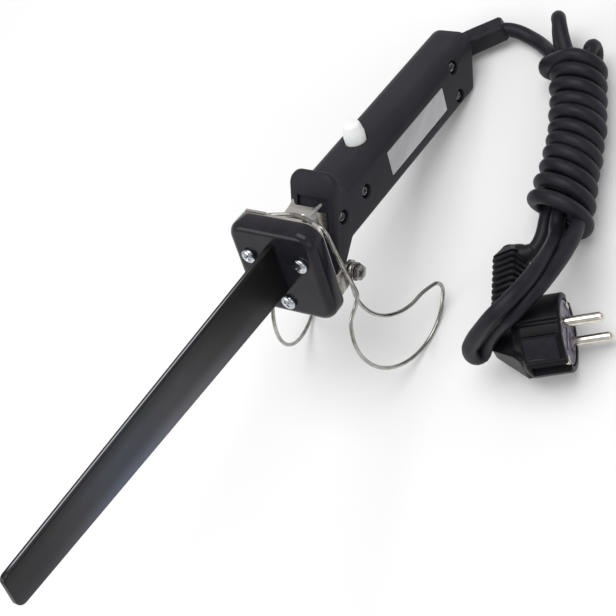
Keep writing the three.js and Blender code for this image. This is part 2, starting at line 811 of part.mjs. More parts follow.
function makeButtonAndSwitch() {
  const at = [buttonX, 0, 0];
  const shoulder = buttonTop - 2.2;
  const profile = [
    [0, buttonStemEnd],
    [buttonStemRadius, buttonStemEnd],
    [buttonStemRadius, buttonFlangeTop - buttonFlange],
    [buttonFlangeRadius, buttonFlangeTop - buttonFlange],
    [buttonFlangeRadius, buttonFlangeTop],
    [buttonRadius, buttonFlangeTop],
    [buttonRadius, handleTop + buttonStroke + 1],
    [buttonCrown, shoulder],
    [buttonCrown * 0.72, buttonTop - 0.7],
    [0, buttonTop],
  ];
  piece(knife, "push_button", turned("z", profile, at, 28), "white");

  const height = springTop - springBottom - 2 * springWire;
  const turns = Array.from({ length: springTurns * 10 + 1 }, (_, i) => {
    const angle = (i * Math.PI) / 5;
    const z = springBottom + springWire + (height * i) / (springTurns * 10);
    return [buttonX + springRadius * Math.cos(angle), springRadius * Math.sin(angle), z];
  });
  const coil = sweep(circle(springWire, 6), curveThrough(turns), springTurns * 14);
  piece(knife, "button_spring", coil, "zinc");

  const body = block(switchRear, switchFront, -switchHalfWidth, switchHalfWidth, switchBottom, switchTop);
  const bore = rod("z", buttonStemRadius + buttonPlay, switchBoreEnd, switchTop + 1, at, 20);
  piece(knife, "switch_body", cut(body, bore), "switchGrey");
  const half = tabThickness / 2;
  const tabZ = (switchBottom + switchTop) / 2;
  [["rear", switchRear - gap - tabLength], ["front", switchFront + gap]].forEach(([name, start]) => {
    const low = tabZ - tabHeight / 2;
    const tab = block(start, start + tabLength, -half, half, low, low + tabHeight);
    piece(knife, `switch_tab_${name}`, tab, "brass");
  });
}

function inner(name, points, finish) {
  piece(knife, name, sweep(circle(leadRadius, 8), curveThrough(points), 4 * points.length), finish);
}

function makeWiring() {
  const blockBottom = cavityBottom + gap;
  const body = block(blockRear, blockFront, -blockHalfWidth, blockHalfWidth, blockBottom, blockTop);
  piece(knife, "terminal_block", body, "switchGrey");

  const coreRear = cavityRear + gap + glandFlange + gap;
  piece(knife, "cord_core", rod("x", cordRadius, coreRear, coreFront, [0, 0, cordAxis]), "rubber");
  const clampBottom = cordAxis + cordRadius + gap;
  const clampTop = clampBottom + clampThickness;
  const bar = block(
    clampX - clampLength / 2,
    clampX + clampLength / 2,
    -clampHalfWidth,
    clampHalfWidth,
    clampBottom,
    clampTop,
  );
  const holes = [-1, 1].map((side) =>
    rod("z", clampScrewRadius + screwPlay, clampBottom - 1, clampTop + 1, [clampX, side * postY, 0], 12),
  );
  piece(knife, "cord_clamp", cut(bar, ...holes), "nickel");
  const screwEnd = clampBottom - clampScrewBite;
  const seat = clampTop + gap;
  const profile = [
    [0, screwEnd],
    [clampScrewRadius, screwEnd],
    [clampScrewRadius, seat],
    [clampScrewHead, seat],
    [clampScrewHead, seat + clampScrewHeadHeight],
    [0, seat + clampScrewHeadHeight],
  ];
  [["left", 1], ["right", -1]].forEach(([name, side]) => {
    piece(knife, `clamp_screw_${name}`, turned("z", profile, [clampX, side * postY, 0], 14), "zinc");
  });

  // Supply leads from the cord to the block, then one through the switch and one past it.
  const blockMiddle = (blockBottom + blockTop) / 2;
  const coreEnd = coreFront + gap;
  const blockStart = blockRear - gap;
  const fork = (side) => [
    [coreEnd, side * 1.6, cordAxis],
    [coreEnd + 5, side * 2, cordAxis - 1.6],
    [blockStart - 4, side * 4, blockMiddle + 1],
    [blockStart, side * 4, blockMiddle],
  ];
  inner("supply_lead_brown", fork(1), "leadBrown");
  inner("supply_lead_blue", fork(-1), "leadBlue");
  const tabZ = (switchBottom + switchTop) / 2;
  const tabRear = switchRear - 2 * gap - tabLength;
  const tabFront = switchFront + 2 * gap + tabLength;
  inner("switch_lead", [
    [blockFront + gap, 4, blockMiddle],
    [blockFront + gap + 3, 3, blockMiddle],
    [tabRear - 1.5, 0.4, tabZ],
    [tabRear, 0, tabZ],
  ], "leadBrown");
  const stripEnd = -tangLength - stripTail - gap;
  inner("heater_lead_brown", [
    [tabFront, 0, tabZ],
    [tabFront + 4, 0.4, tabZ + 0.4],
    [channelRear + 12, 1, channelBottom + leadRadius + 1.5],
    [stripEnd - 6, 0.4, stripBottom + 2.6],
    [stripEnd, 0, stripBottom + 2.6],
  ], "leadBrown");
  const pass = switchTop + gap + leadRadius;
  const passY = switchHalfWidth - leadRadius;
  inner("heater_lead_blue", [
    [blockFront + gap, -4, blockMiddle],
    [blockFront + 4, -4.6, blockMiddle + 0.6],
    [switchRear - 4, -passY + 0.6, pass - 1],
    [switchRear + 2, -passY, pass],
    [switchFront - 2, -passY, pass],
    [channelRear + 1, -5, pass + 2.2],
    [channelRear + 10, -2, pass + 3.4],
    [stripEnd - 8, -0.6, stripTop - 1.4],
    [stripEnd, 0, stripTop - 1.4],
  ], "leadBlue");
}

function makeGland() {
  const flangeRear = cavityRear + gap;
  const flange = rod("x", glandFlangeRadius, flangeRear, flangeRear + glandFlange, [0, 0, cordAxis], 28);
  const neck = rod("x", glandNeckRadius, glandStart - 1, flangeRear + 1, [0, 0, cordAxis], 28);
  const start = new THREE.Vector3(glandStart, 0, cordAxis);
  const [near, far, end] = glandBend.map((p) => new THREE.Vector3(...p));
  const bend = new THREE.CubicBezierCurve3(start, near, far, end);
  const sleeve = sweep(centredRectangle(glandWidth, glandWidth, glandCorner), bend, 10);
  piece(knife, "cord_gland", joined(flange, neck, sleeve), "rubber");
}

function makeLead() {
  const round = circle(cordRadius, 10);
  piece(lead, "cord_lead", sweep(round, curveThrough(leadRoute), 10), "rubber");
  piece(lead, "cord_tail", sweep(round, curveThrough(tailRoute), 8), "rubber");
  piece(lead, "cord_loop", sweep(round, curveThrough(loopRoute), 60), "rubber");
  const [topX, topY] = hankTopEnd;
  const [bottomX, bottomY] = hankBottomEnd;
  const along = Math.atan2(bottomY - topY, bottomX - topX);
  const shape = new THREE.Shape();
  shape.absarc(bottomX, bottomY, hankRadius, along - Math.PI / 2, along + Math.PI / 2);
  shape.absarc(topX, topY, hankRadius, along + Math.PI / 2, along + Math.PI * 1.5);
  piece(lead, "cord_hank", alongZ(shape, 0, 2 * hankRadius, { ...flat, curveSegments: 10 }), "rubber");
}

// The plug is drawn with its pins along +X and its lead leaving towards +Y, then laid down.
function makePlug() {
  const plug = new THREE.Group();
  plug.position.set(...plugFace);
  plug.rotation.set(plugRoll, plugDip, plugTurn, "ZYX");
  lead.add(plug);

  const barrelProfile = [
    [0, -plugBarrel - plugCone],
    [plugRadius - plugCone, -plugBarrel - plugCone],
    [plugRadius, -plugBarrel],
    [plugRadius, 0],
    [0, 0],
  ];
  const barrel = turned("x", barrelProfile, [0, 0, 0], 40);
  const grip = outline([
    [-plugBarrel, plugLow],
    [-plugFlat, plugLow],
    [-plugDepth, plugRearLow],
    [-plugDepth, plugRearHigh],
    [-plugBarrel, plugRearHigh],
  ]);
  const edge = { bevelThickness: 2, bevelSize: 2, bevelOffset: -2, bevelSegments: 2 };
  const slope = outline([
    [-plugDepth - 1, -plugHalf - 1],
    [0, -plugHalf - 1],
    [0, plugHalf + 1],
    [-plugFlat - 2, plugHalf],
    [-plugDepth - 1, plugRearTop],
  ]);
  const wedge = alongY(slope, -plugRadius - 1, plugRadius + 1);
  const back = alongZ(grip, -plugHalf + 2, plugHalf - 2, edge).intersect(wedge);
  const faceWell = rod("x", plugFaceRadius + gap, -plugFaceDepth - gap, 1, [0, 0, 0], 36);
  const keys = [-1, 1].map((side) => {
    const y = -side * keyOffset;
    const z = side * plugRadius;
    return block(-plugBarrel, 1, y - keyHalfWidth, y + keyHalfWidth, z - keyDepth, z + keyDepth);
  });
  const pinPlaces = [1, -1].map((side) => [0, (side * pinSpacing) / 2]);
  const pinHoles = pinPlaces.map(([y, z]) =>
    rod("x", pinRadius + gap, -plugFaceDepth - pinRoot, 1, [0, y, z], 20),
  );
  const clipSlots = [-1, 1].map((side) => {
    const [near, far] = [side * (plugRadius - clipInset - clipThickness - gap), side * (plugRadius + 1)];
    const [low, high] = [near, far].sort((a, b) => a - b);
    return block(-clipLength - gap, 1, low, high, -clipHalfWidth - gap, clipHalfWidth + gap);
  });
  const sockets = [faceWell, ...keys, ...pinHoles, ...clipSlots];
  piece(plug, "plug_body", cut(joined(barrel, back), ...sockets), "plugBlack");

  const face = rod("x", plugFaceRadius, -plugFaceDepth, 0, [0, 0, 0], 36);
  piece(plug, "plug_face", cut(face, ...pinHoles), "plugGrey");
  const rootEnd = -plugFaceDepth - pinRoot + gap;
  const pinProfile = [
    [0, rootEnd],
    [pinRadius, rootEnd],
    [pinRadius, pinLength - pinRadius],
    [pinRadius * 0.7, pinLength - pinRadius * 0.3],
    [0, pinLength],
  ];
  pinPlaces.forEach(([y, z], i) => {
    piece(plug, `plug_pin_${i + 1}`, turned("x", pinProfile, [0, y, z], 18), "nickel");
  });
  [["front", -1], ["rear", 1]].forEach(([name, side]) => {
    const outer = plugRadius - clipInset;
    const [low, high] = [side * (outer - clipThickness), side * outer].sort((a, b) => a - b);
    const clip = block(-clipLength, 0, low, high, -clipHalfWidth, clipHalfWidth);
    piece(plug, `plug_earth_clip_${name}`, clip, "nickel");
  });

  // A square ribbed sleeve leaves the plug's side and tapers to the lead.
  const relief = new THREE.Group();
  const start = new THREE.Vector3(reliefOffset, plugRearHigh + reliefStandoff, 0);
  relief.position.copy(start.applyEuler(plug.rotation).add(plug.position));
  const aim = new THREE.Vector3(...reliefEnd).sub(relief.position);
  const length = aim.length();
  const swing = new THREE.Quaternion().setFromUnitVectors(axes.x, aim.normalize());
  const roll = new THREE.Quaternion().setFromAxisAngle(axes.x, reliefTurn);
  relief.quaternion.copy(swing.multiply(roll));
  lead.add(relief);
  const coarse = { ...flat, curveSegments: 2 };
  const core = alongX(centredRectangle(reliefCore, reliefCore, 1), 0, length, coarse);
  const spacing = length / reliefRibs;
  const ribShape = centredRectangle(reliefWidth, reliefWidth, 1.4);
  const ribs = Array.from({ length: reliefRibs }, (_, i) =>
    alongX(ribShape, i * spacing, (i + 0.6) * spacing, coarse),
  );
  const capProfile = [
    [0, length - 1],
    [reliefCore / 2 + 1, length - 1],
    [reliefMouth, length + reliefCap],
    [0, length + reliefCap],
  ];
  const cap = turned("x", capProfile, [0, 0, 0], 16);
  piece(relief, "plug_strain_relief", joined(core, ...ribs, cap), "plugBlack");
}

makeBlade();
makeShield();
makeShieldScrews();
makeBracket();
makeWireRest();
makeHandle();
makeButtonAndSwitch();
makeWiring();
makeGland();
makeLead();
makePlug();

// The origin is under the middle of the knife's box, on the floor.
root.updateMatrixWorld(true);
const box = new THREE.Box3().setFromObject(knife, true);
const middle = box.getCenter(new THREE.Vector3());
knife.position.set(-middle.x, -middle.y, -box.min.z);
lead.position.set(-middle.x, 0, 0);

export default root;
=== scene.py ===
from math import cos, pi, radians, sin
import bmesh
import bpy
from mathutils import Matrix, Vector


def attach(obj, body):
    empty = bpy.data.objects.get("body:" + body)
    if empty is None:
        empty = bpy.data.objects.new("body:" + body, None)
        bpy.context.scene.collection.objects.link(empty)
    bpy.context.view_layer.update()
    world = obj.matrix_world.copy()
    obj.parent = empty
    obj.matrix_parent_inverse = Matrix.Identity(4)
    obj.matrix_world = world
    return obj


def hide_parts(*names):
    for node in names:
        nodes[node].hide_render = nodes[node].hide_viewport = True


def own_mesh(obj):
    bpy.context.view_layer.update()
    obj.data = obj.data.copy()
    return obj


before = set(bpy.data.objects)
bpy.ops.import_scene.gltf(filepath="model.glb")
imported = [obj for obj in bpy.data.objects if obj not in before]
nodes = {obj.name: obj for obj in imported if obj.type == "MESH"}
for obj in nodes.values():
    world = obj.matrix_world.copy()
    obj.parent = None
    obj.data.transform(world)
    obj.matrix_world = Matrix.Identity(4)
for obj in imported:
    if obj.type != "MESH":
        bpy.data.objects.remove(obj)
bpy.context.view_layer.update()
print("frame:", len(nodes), "solids")

mm = 0.001


class Settings(dict):  # a dictionary whose values are read as settings.name
    __getattr__ = dict.__getitem__


# where the knife, the lead and the plug stand, in millimetres and degrees
stance = Settings(pitch=29.3, along=3.09478, up=91.61767)
plugStance = Settings(face=(-19.4, 114.5, 18.9), turn=112.8, dip=5.4, roll=-8.9)
reliefStance = Settings(start=(-28, 18.2, 0), end=(-51.2, 71.2, 13.5), turn=34.5)


def turnAbout(degrees, axis):
    return Matrix.Rotation(radians(degrees), 4, axis)


shrink = Matrix.Scale(mm, 4)
leadSpace = Matrix.Translation((stance.along * mm, 0, 0)) @ shrink
knifeBase = Matrix.Translation((stance.along * mm, 0, stance.up * mm))
knifeSpace = knifeBase @ turnAbout(-stance.pitch, "Y") @ shrink
plugTurns = turnAbout(plugStance.turn, "Z") @ turnAbout(plugStance.dip, "Y")
plugTurns = plugTurns @ turnAbout(plugStance.roll, "X")
plugSpace = leadSpace @ Matrix.Translation(plugStance.face) @ plugTurns
reliefStart = Vector(plugStance.face) + plugTurns.to_3x3() @ Vector(reliefStance.start)
reliefAim = Vector(reliefStance.end) - reliefStart
reliefSwing = Vector((1, 0, 0)).rotation_difference(reliefAim).to_matrix().to_4x4()
reliefSpace = leadSpace @ Matrix.Translation(reliefStart) @ reliefSwing @ turnAbout(reliefStance.turn, "X")


# lines

tiny = 1e-6  # the shortest step


def evenLine(points, step):  # the same line in even steps
    reach = [0.0]
    for a, b in zip(points, points[1:]):
        reach.append(reach[-1] + (b - a).length)
    count = max(2, round(reach[-1] / step))
    line, i = [], 0
    for k in range(count + 1):
        want = reach[-1] * k / count
        while i < len(points) - 2 and reach[i + 1] < want:
            i += 1
        span = max(reach[i + 1] - reach[i], tiny)
        line.append(points[i].lerp(points[i + 1], min(1, max(0, (want - reach[i]) / span))))
    return line


def smoothLine(points, step):  # a smooth line through the points
    p = [Vector(q) for q in points]
    p = [p[0] * 2 - p[1]] + p + [p[-1] * 2 - p[-2]]
    line = []
    for i in range(1, len(p) - 2):
        a, b, c, d = p[i - 1:i + 3]
        t1 = max((b - a).length, tiny) ** 0.5
        t2 = t1 + max((c - b).length, tiny) ** 0.5
        t3 = t2 + max((d - c).length, tiny) ** 0.5
        count = max(3, round((c - b).length / step * 2))
        for k in range(count):
            t = t1 + (t2 - t1) * k / count
            ab = a * ((t1 - t) / t1) + b * (t / t1)
            bc = b * ((t2 - t) / (t2 - t1)) + c * ((t - t1) / (t2 - t1))
            cd = c * ((t3 - t) / (t3 - t2)) + d * ((t - t2) / (t3 - t2))
            abc = ab * ((t2 - t) / t2) + bc * (t / t2)
            bcd = bc * ((t3 - t) / (t3 - t1)) + cd * ((t - t1) / (t3 - t1))
            line.append(abc * ((t2 - t) / (t2 - t1)) + bcd * ((t - t1) / (t2 - t1)))
    line.append(p[-2])
    return evenLine(line, step)


def lineLength(line):
    return sum((b - a).length for a, b in zip(line, line[1:]))


def stepped(table, x):  # straight steps between pairs
    if x <= table[0][0]:
        return table[0][1]
    for (a, p), (b, q) in zip(table, table[1:]):
        if x <= b:
            return p + (q - p) * (x - a) / (b - a)
    return table[-1][1]


def soft(table, x, reach, taps=4):  # the same, with its corners eased
    return sum(stepped(table, x + reach * (i / taps)) for i in range(-taps, taps + 1)) / (2 * taps + 1)


def ease(x):
    x = min(1, max(0, x))
    return x * x * (3 - 2 * x)


def bump(x, low, high, edge):  # 1 between low and high, eased at its edges
    return ease((x - low) / edge + 0.5) * ease((high - x) / edge + 0.5)


def arcLine(x, z, radius, first, last, count):
    spots = []
    for k in range(count):
        a = radians(first + (last - first) * k / (count - 1))
        spots.append((x + radius * cos(a), z + radius * sin(a)))
    return spots


def domeLine(radius, base, rise, step):  # a dome's radii and heights, between its rim and its top
    angles = [radians(d) for d in range(step, 90, step)]
    return [(radius * cos(a), base + rise * sin(a)) for a in angles]


def quarterTurn(count):  # what a rounded edge of size 1 falls short by, on its two sides
    angles = [radians(90 * k / count) for k in range(count + 1)]
    return [(1 - sin(a), 1 - cos(a)) for a in angles]


# shapes are pairs of points and faces

def loftShape(loops, closed=True):
    points = [tuple(p) for loop in loops for p in loop]
    n = len(loops[0])
    faces = []
    for i in range(len(loops) - 1):
        for k in range(n):
            m = (k + 1) % n
            faces.append((i * n + k, i * n + m, (i + 1) * n + m, (i + 1) * n + k))
    if closed:
        faces.append(tuple(reversed(range(n))))
        faces.append(tuple(range((len(loops) - 1) * n, len(loops) * n)))
    return points, faces


def joinShapes(*shapes):
    points, faces = [], []
    for p, f in shapes:
        faces += [tuple(i + len(points) for i in face) for face in f]
        points += p
    return points, faces


def sweepShape(line, section, up=(0, 0, 1)):  # section(i, share) gives points across the line
    last = len(line) - 1
    aim = [(line[min(i + 1, last)] - line[max(i - 1, 0)]).normalized() for i in range(last + 1)]
    side = aim[0].cross(Vector(up)).normalized()
    loops = []
    for i, (p, d) in enumerate(zip(line, aim)):
        side = (side - d * side.dot(d)).normalized()
        over = side.cross(d)
        loops.append([p + side * a + over * b for a, b in section(i, i / last)])
    return loftShape(loops)


def ring(radius, sides):
    angles = [2 * pi * k / sides for k in range(sides)]
    return [(radius * cos(a), radius * sin(a)) for a in angles]


def tubeShape(line, radius, sides, blunt=0.4):  # a round tube with eased ends
    last = len(line) - 1

    def section(i, share):
        return ring(radius * (1 - blunt if i in (0, last) else 1), sides)

    return sweepShape(line, section)


def placed(axis, a, b, c):  # c along the axis, a and b across it
    return {"x": (c, a, b), "y": (a, c, b), "z": (a, b, c)}[axis]


def turnedShape(axis, profile, centre, sides=32, point=1e-4):  # pairs of radius and place
    loops = []
    for radius, place in profile:
        spots = [placed(axis, a, b, place) for a, b in ring(max(radius, point), sides)]
        loops.append([Vector(p) + Vector(centre) for p in spots])
    return loftShape(loops)


def roundedBox(left, right, low, high, lowRound, highRound, n=8):  # a rounded rectangle, counter-clockwise
    corners = [
        (right - lowRound, low + lowRound, lowRound, -90),
        (right - highRound, high - highRound, highRound, 0),
        (left + highRound, high - highRound, highRound, 90),
        (left + lowRound, low + lowRound, lowRound, 180),
    ]
    points = []
    for a, b, r, start in corners:
        points += arcLine(a, b, r, start, start + 90, n + 1)
    return points


def prismShape(axis, outline, low, high):  # drawn in the other two axes, in order
    return loftShape([[placed(axis, a, b, c) for a, b in outline] for c in (low, high)])


def boxShape(x0, x1, y0, y1, z0, z1):
    return prismShape("z", [(x0, y0), (x1, y0), (x1, y1), (x0, y1)], z0, z1)


# pieces

creaseAngle = 32  # edges sharper than this stay sharp


def meshOf(shape, space=None, angle=creaseAngle):
    mesh = bpy.data.meshes.new("shape")
    mesh.from_pydata([tuple(p) for p in shape[0]], [], shape[1])
    made = bmesh.new()
    made.from_mesh(mesh)
    bmesh.ops.recalc_face_normals(made, faces=made.faces)
    made.to_mesh(mesh)
    made.free()
    if space is not None:
        mesh.transform(space)
    smoothen(mesh, angle)
    return mesh


def smoothen(mesh, angle):
    mesh.shade_smooth()
    mesh.set_sharp_from_angle(angle=radians(angle))


def linked(name, mesh):
    made = bpy.data.objects.new(name, mesh)
    bpy.context.scene.collection.objects.link(made)
    return made


def carved(mesh, *cutters):  # the mesh less each cutter
    body = linked("body", mesh)
    tools = []
    for cutter in cutters:
        tool = linked("tool", meshOf(cutter))
        step = body.modifiers.new("cut", "BOOLEAN")
        step.operation, step.solver, step.object = "DIFFERENCE", "EXACT", tool
        tools.append(tool)
    seen = body.evaluated_get(bpy.context.evaluated_depsgraph_get())
    left = bpy.data.meshes.new_from_object(seen)
    for o in [body, *tools]:
        bpy.data.objects.remove(o)
    return left


def halved(mesh, side, gap, near=1e-5):  # one side of the middle plane, closed again
    made = bmesh.new()
    made.from_mesh(mesh)
    every = made.verts[:] + made.edges[:] + made.faces[:]
    done = bmesh.ops.bisect_plane(
        made, geom=every, dist=near, plane_co=(0, side * gap, 0), plane_no=(0, side, 0), clear_inner=True)
    rim = [e for e in done["geom_cut"] if isinstance(e, bmesh.types.BMEdge)]
    bmesh.ops.triangle_fill(made, use_beauty=True, edges=rim)
    bmesh.ops.recalc_face_normals(made, faces=made.faces)
    half = bpy.data.meshes.new("half")
    made.to_mesh(half)
    made.free()
    return half


def eased(piece, width, segments=2, angle=30):  # round the edges
    step = piece.modifiers.new("edges", "BEVEL")
    step.width, step.segments, step.limit_method = width * mm, segments, "ANGLE"
    step.angle_limit, step.harden_normals, step.use_clamp_overlap = radians(angle), True, True
    return piece


def setPiece(name, mesh, finish, *stoodFor, body="knife", slot=None):
    mesh.materials.clear()
    mesh.materials.append(finish.material)
    piece = linked(name, mesh)
    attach(piece, body)
    if stoodFor:
        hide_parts(*stoodFor)
    return piece


def dress(finish, *names):  # a finish for solids that stay
    for name in names:
        node = nodes[name]
        node.data.materials.clear()
        node.data.materials.append(finish.material)
        smoothen(node.data, creaseAngle)


# finishes

even = (1, 1, 1)
tilt = stance.pitch
knifeOrigin = (47.5, 0.05, 78.38)  # in object space, turned with the knife


class Thread:  # a socket that stands in sums
    def __init__(self, finish, socket):
        self.finish, self.socket = finish, socket

    def sum(self, operation, *values):
        return self.finish.node("ShaderNodeMath", {"operation": operation}, dict(enumerate(values)))

    def __add__(self, other):
        return self.sum("ADD", self, other)

    def __sub__(self, other):
        return self.sum("SUBTRACT", self, other)

    def __rsub__(self, other):
        return self.sum("SUBTRACT", other, self)

    def __mul__(self, other):
        return self.sum("MULTIPLY", self, other)

    __radd__, __rmul__ = __add__, __mul__

    def __truediv__(self, other):
        return self.sum("DIVIDE", self, other)

    def between(self, low, high):  # 0 at low, 1 at high
        ends = {"Value": self, "From Min": low, "From Max": high}
        return self.finish.node("ShaderNodeMapRange", {"interpolation_type": "SMOOTHSTEP"}, ends)


class Finish:
    def __init__(self, name, **sockets):
        self.material = bpy.data.materials.new(name)
        self.material.use_nodes = True
        self.tree = self.material.node_tree
        self.shader = self.tree.nodes["Principled BSDF"]
        self.feed(**sockets)

    def node(self, kind, settings=None, sockets=None, out=0):
        made = self.tree.nodes.new(kind)
        for key, value in (settings or {}).items():
            setattr(made, key, value)
        for key, value in (sockets or {}).items():
            self.join(made.inputs[key], value)
        return Thread(self, made.outputs[out])

    def join(self, socket, value):
        if isinstance(value, Thread):
            self.tree.links.new(value.socket, socket)
        else:
            socket.default_value = (*value, 1) if socket.type == "RGBA" else value

    def feed(self, **sockets):
        names = {"colour": "Base Color", "rough": "Roughness", "metal": "Metallic", "coat": "Coat Weight",
                 "coatRough": "Coat Roughness", "normal": "Normal", "shine": "Specular IOR Level",
                 "under": "Subsurface Weight"}
        for key, value in sockets.items():
            self.join(self.shader.inputs[names[key]], value)
        return self

    def spot(self, turn=0, stretch=even):  # object space, turned about Y and stretched
        raw = self.node("ShaderNodeTexCoord", None, None, "Object")
        return self.node("ShaderNodeMapping", None, {
            "Vector": raw, "Rotation": (0, radians(turn), 0), "Scale": stretch})

    def noise(self, size, detail=3, rough=0.55, turn=0, stretch=even):  # size in millimetres
        where = self.spot(turn, tuple(s / (size * mm) for s in stretch))
        return self.node("ShaderNodeTexNoise", None, {
            "Vector": where, "Scale": 1.0, "Detail": detail, "Roughness": rough})

    def shades(self, amount, dark, light):  # from one colour to another
        return self.node("ShaderNodeMix", {"data_type": "RGBA"}, {0: amount, 6: dark, 7: light}, 2)

    def grain(self, depth, **cloud):  # depth in millimetres
        return self.node("ShaderNodeBump", None, {
            "Height": self.noise(**cloud), "Strength": 1.0, "Distance": depth * mm})


def knifeAxis(finish, out):  # millimetres along, aside or up in the knife's own space
    return 1000 * finish.node("ShaderNodeSeparateXYZ", None, {0: finish.spot(tilt)}, out) - knifeOrigin[out]


def flecked(name, dark, light, rough, spread=0.1, size=4, detail=5, turn=0, stretch=even, grain=None,
            **constants):  # two colours in clouds over a fine grain
    made = Finish(name, **constants)
    cloud = made.noise(size, detail, 0.6, turn, stretch)
    made.skin = made.shades(cloud.between(0.3, 0.7), dark, light)
    made.feed(colour=made.skin, rough=rough + (cloud - 0.5) * spread)
    if grain:
        made.feed(normal=made.grain(**grain))
    return made


# blade colours: dark for the shaded root and tip, light and blue for a painted highlight across the middle,
# and a light grey for a painted highlight on the top edge
bladeLook = Settings(
    dark=(0.0048, 0.0048, 0.0056), light=(0.132, 0.129, 0.152), blue=(0.112, 0.13, 0.185),
    # the light grey below is a painted highlight on the top edge
    worn=(0.34, 0.34, 0.36), rough=0.34, spread=0.16, shine=0.28,
    top=(17.8, 0.0396), tall=(28.2, 0.0492),  # each with its taper
    grain=dict(depth=0.012, size=0.5, rough=0.6, turn=tilt, stretch=(0.3, 1, 1)),
)


def makeBladeFinish():
    w = bladeLook
    made = Finish("blade", shine=w.shine)
    smoke = made.noise(22, 5, 0.6, tilt, (0.12, 1, 1))  # long streaks
    made.feed(rough=w.rough + (smoke - 0.5) * w.spread, normal=made.grain(**w.grain))
    along, aside, high = (knifeAxis(made, k) for k in range(3))
    (top, topTaper), (tall, tallTaper) = w.top, w.tall
    down = (top - topTaper * along - high) / (tall - tallTaper * along)  # 0 at the top edge, 1 at the lower
    cloud = made.noise(26, 4, 0.6, tilt, (0.25, 1, 1)).between(0.25, 0.8)
    # painted highlight across the middle of the blade, fading to the dark root and tip
    midHighlight = along.between(35, 115) * (1 - 0.75 * along.between(115, 190)) * (0.55 + 0.45 * cloud)
    # painted highlight along the lower edge of the blade
    lowEdgeHighlight = down.between(0.58, 0.95) * (1 - down.between(0.955, 0.985))
    lowEdgeHighlight = lowEdgeHighlight * along.between(0, 70) * (1 - 0.8 * along.between(120, 185))
    # the painted highlight turns bluish part way along the blade
    highlightTint = made.shades(along.between(85, 118) * (1 - along.between(132, 165)), w.light, w.blue)
    # the painted highlight, with painted shade just below the top edge, plus the painted highlight along the
    # lower edge
    lit = 0.42 * midHighlight * (0.3 + 0.7 * down.between(0.05, 0.34)) + 0.5 * lowEdgeHighlight
    worn = (1 - down.between(0.006, 0.022)) * (1 - (aside * aside).between(0.04, 0.2))  # painted highlight along the top edge
    worn = worn * along.between(5, 55) * (1 - along.between(188, 194))
    return made.feed(colour=made.shades(worn, made.shades(lit, w.dark, highlightTint), w.worn))


bladeFinish = makeBladeFinish()
shieldFinish = flecked(
    "shield", (0.0125, 0.0115, 0.0155), (0.0195, 0.018, 0.0235), rough=0.16, spread=0.08, size=14, shine=0.14,
    coat=0.12, coatRough=0.12, grain=dict(depth=0.03, size=2.4, detail=2, rough=0.5))  # orange peel
shieldRimHighlight = 1 - knifeAxis(shieldFinish, 0).between(-9.75, -9.2)  # painted highlight: a light grey line on the sheet's edge
shieldFinish.feed(colour=shieldFinish.shades(shieldRimHighlight, shieldFinish.skin, (0.42, 0.4, 0.38)))
zincFinish = flecked(
    "zinc", (0.40, 0.42, 0.45), (0.66, 0.68, 0.71), rough=0.22, spread=0.16, size=1.6, metal=1,
    grain=dict(depth=0.01, size=0.35, detail=2))
# painted shade: a darker copy of the zinc for the stand's bolts and washers, which lie in shade
shadedBoltFinish = flecked(
    "steel", (0.20, 0.195, 0.185), (0.40, 0.39, 0.375), rough=0.24, spread=0.14, size=1.8, metal=1)
# painted shade: a darker copy of the zinc for the handle screws, which sit in shaded recesses
shadedScrewFinish = flecked(
    "screw", (0.08, 0.08, 0.084), (0.25, 0.25, 0.26), rough=0.18, spread=0.12, size=1.8, metal=1)
nickelFinish = flecked(
    "nickel", (0.60, 0.57, 0.53), (0.76, 0.735, 0.695), rough=0.27, size=5, detail=1, turn=tilt,
    stretch=(1, 0.12, 1), metal=1,
    grain=dict(depth=0.0015, size=0.5, detail=1, rough=0.6, turn=tilt, stretch=(1, 0.06, 1)))
wireFinish = flecked(
    "wire", (0.27, 0.265, 0.25), (0.46, 0.45, 0.43), rough=0.15, spread=0.12, size=5, metal=1)
handleFinish = flecked(
    "handle", (0.0112, 0.0108, 0.0162), (0.0195, 0.0188, 0.027), rough=0.52, spread=0.12, size=30, turn=tilt,
    stretch=(0.4, 1, 1), shine=0.24, grain=dict(depth=0.03, size=0.55, rough=0.65))  # fine moulded grain
labelFinish = flecked(
    "label", (0.45, 0.45, 0.475), (0.56, 0.56, 0.585), rough=0.42, size=9, turn=tilt, stretch=(0.3, 1, 1),
    metal=0.35, grain=dict(depth=0.006, size=0.3, detail=2, rough=0.5, turn=tilt, stretch=(0.08, 1, 1)))
buttonFinish = flecked(
    "button", (0.86, 0.86, 0.85), (0.92, 0.92, 0.91), rough=0.3, spread=0.08, size=6, under=0.05)
cordFinish = flecked(
    "cord", (0.0085, 0.008, 0.0125), (0.0155, 0.0148, 0.0215), rough=0.46, spread=0.14, size=9, shine=0.22,
    grain=dict(depth=0.02, size=0.6, rough=0.6))
glandFinish = flecked(
    "gland", (0.0108, 0.0104, 0.0148), (0.0195, 0.019, 0.0255), rough=0.5, spread=0.14, size=6, shine=0.22,
    grain=dict(depth=0.02, size=0.5))
plugFinish = flecked(
    "plug", (0.0035, 0.0034, 0.0045), (0.007, 0.0068, 0.009), rough=0.36, spread=0.12, size=8, shine=0.1,
    grain=dict(depth=0.015, size=0.5))
litPadFinish = flecked(
    "pad", (0.0085, 0.0082, 0.0125), (0.0145, 0.014, 0.0205), rough=0.42, spread=0.12, size=5, shine=0.2,
    grain=dict(depth=0.03, size=0.4))  # painted light: lighter than the plug's black where the raised grip catches light
reliefFinish = flecked(
    "relief", (0.009, 0.009, 0.0108), (0.016, 0.016, 0.019), rough=0.42, spread=0.12, size=6, shine=0.2,
    grain=dict(depth=0.015, size=0.5))
faceFinish = flecked("face", (0.045, 0.036, 0.062), (0.21, 0.185, 0.255), rough=0.3, spread=0.14, size=3)
pinFinish = flecked("pin", (0.63, 0.585, 0.50), (0.82, 0.79, 0.72), rough=0.16, metal=1)

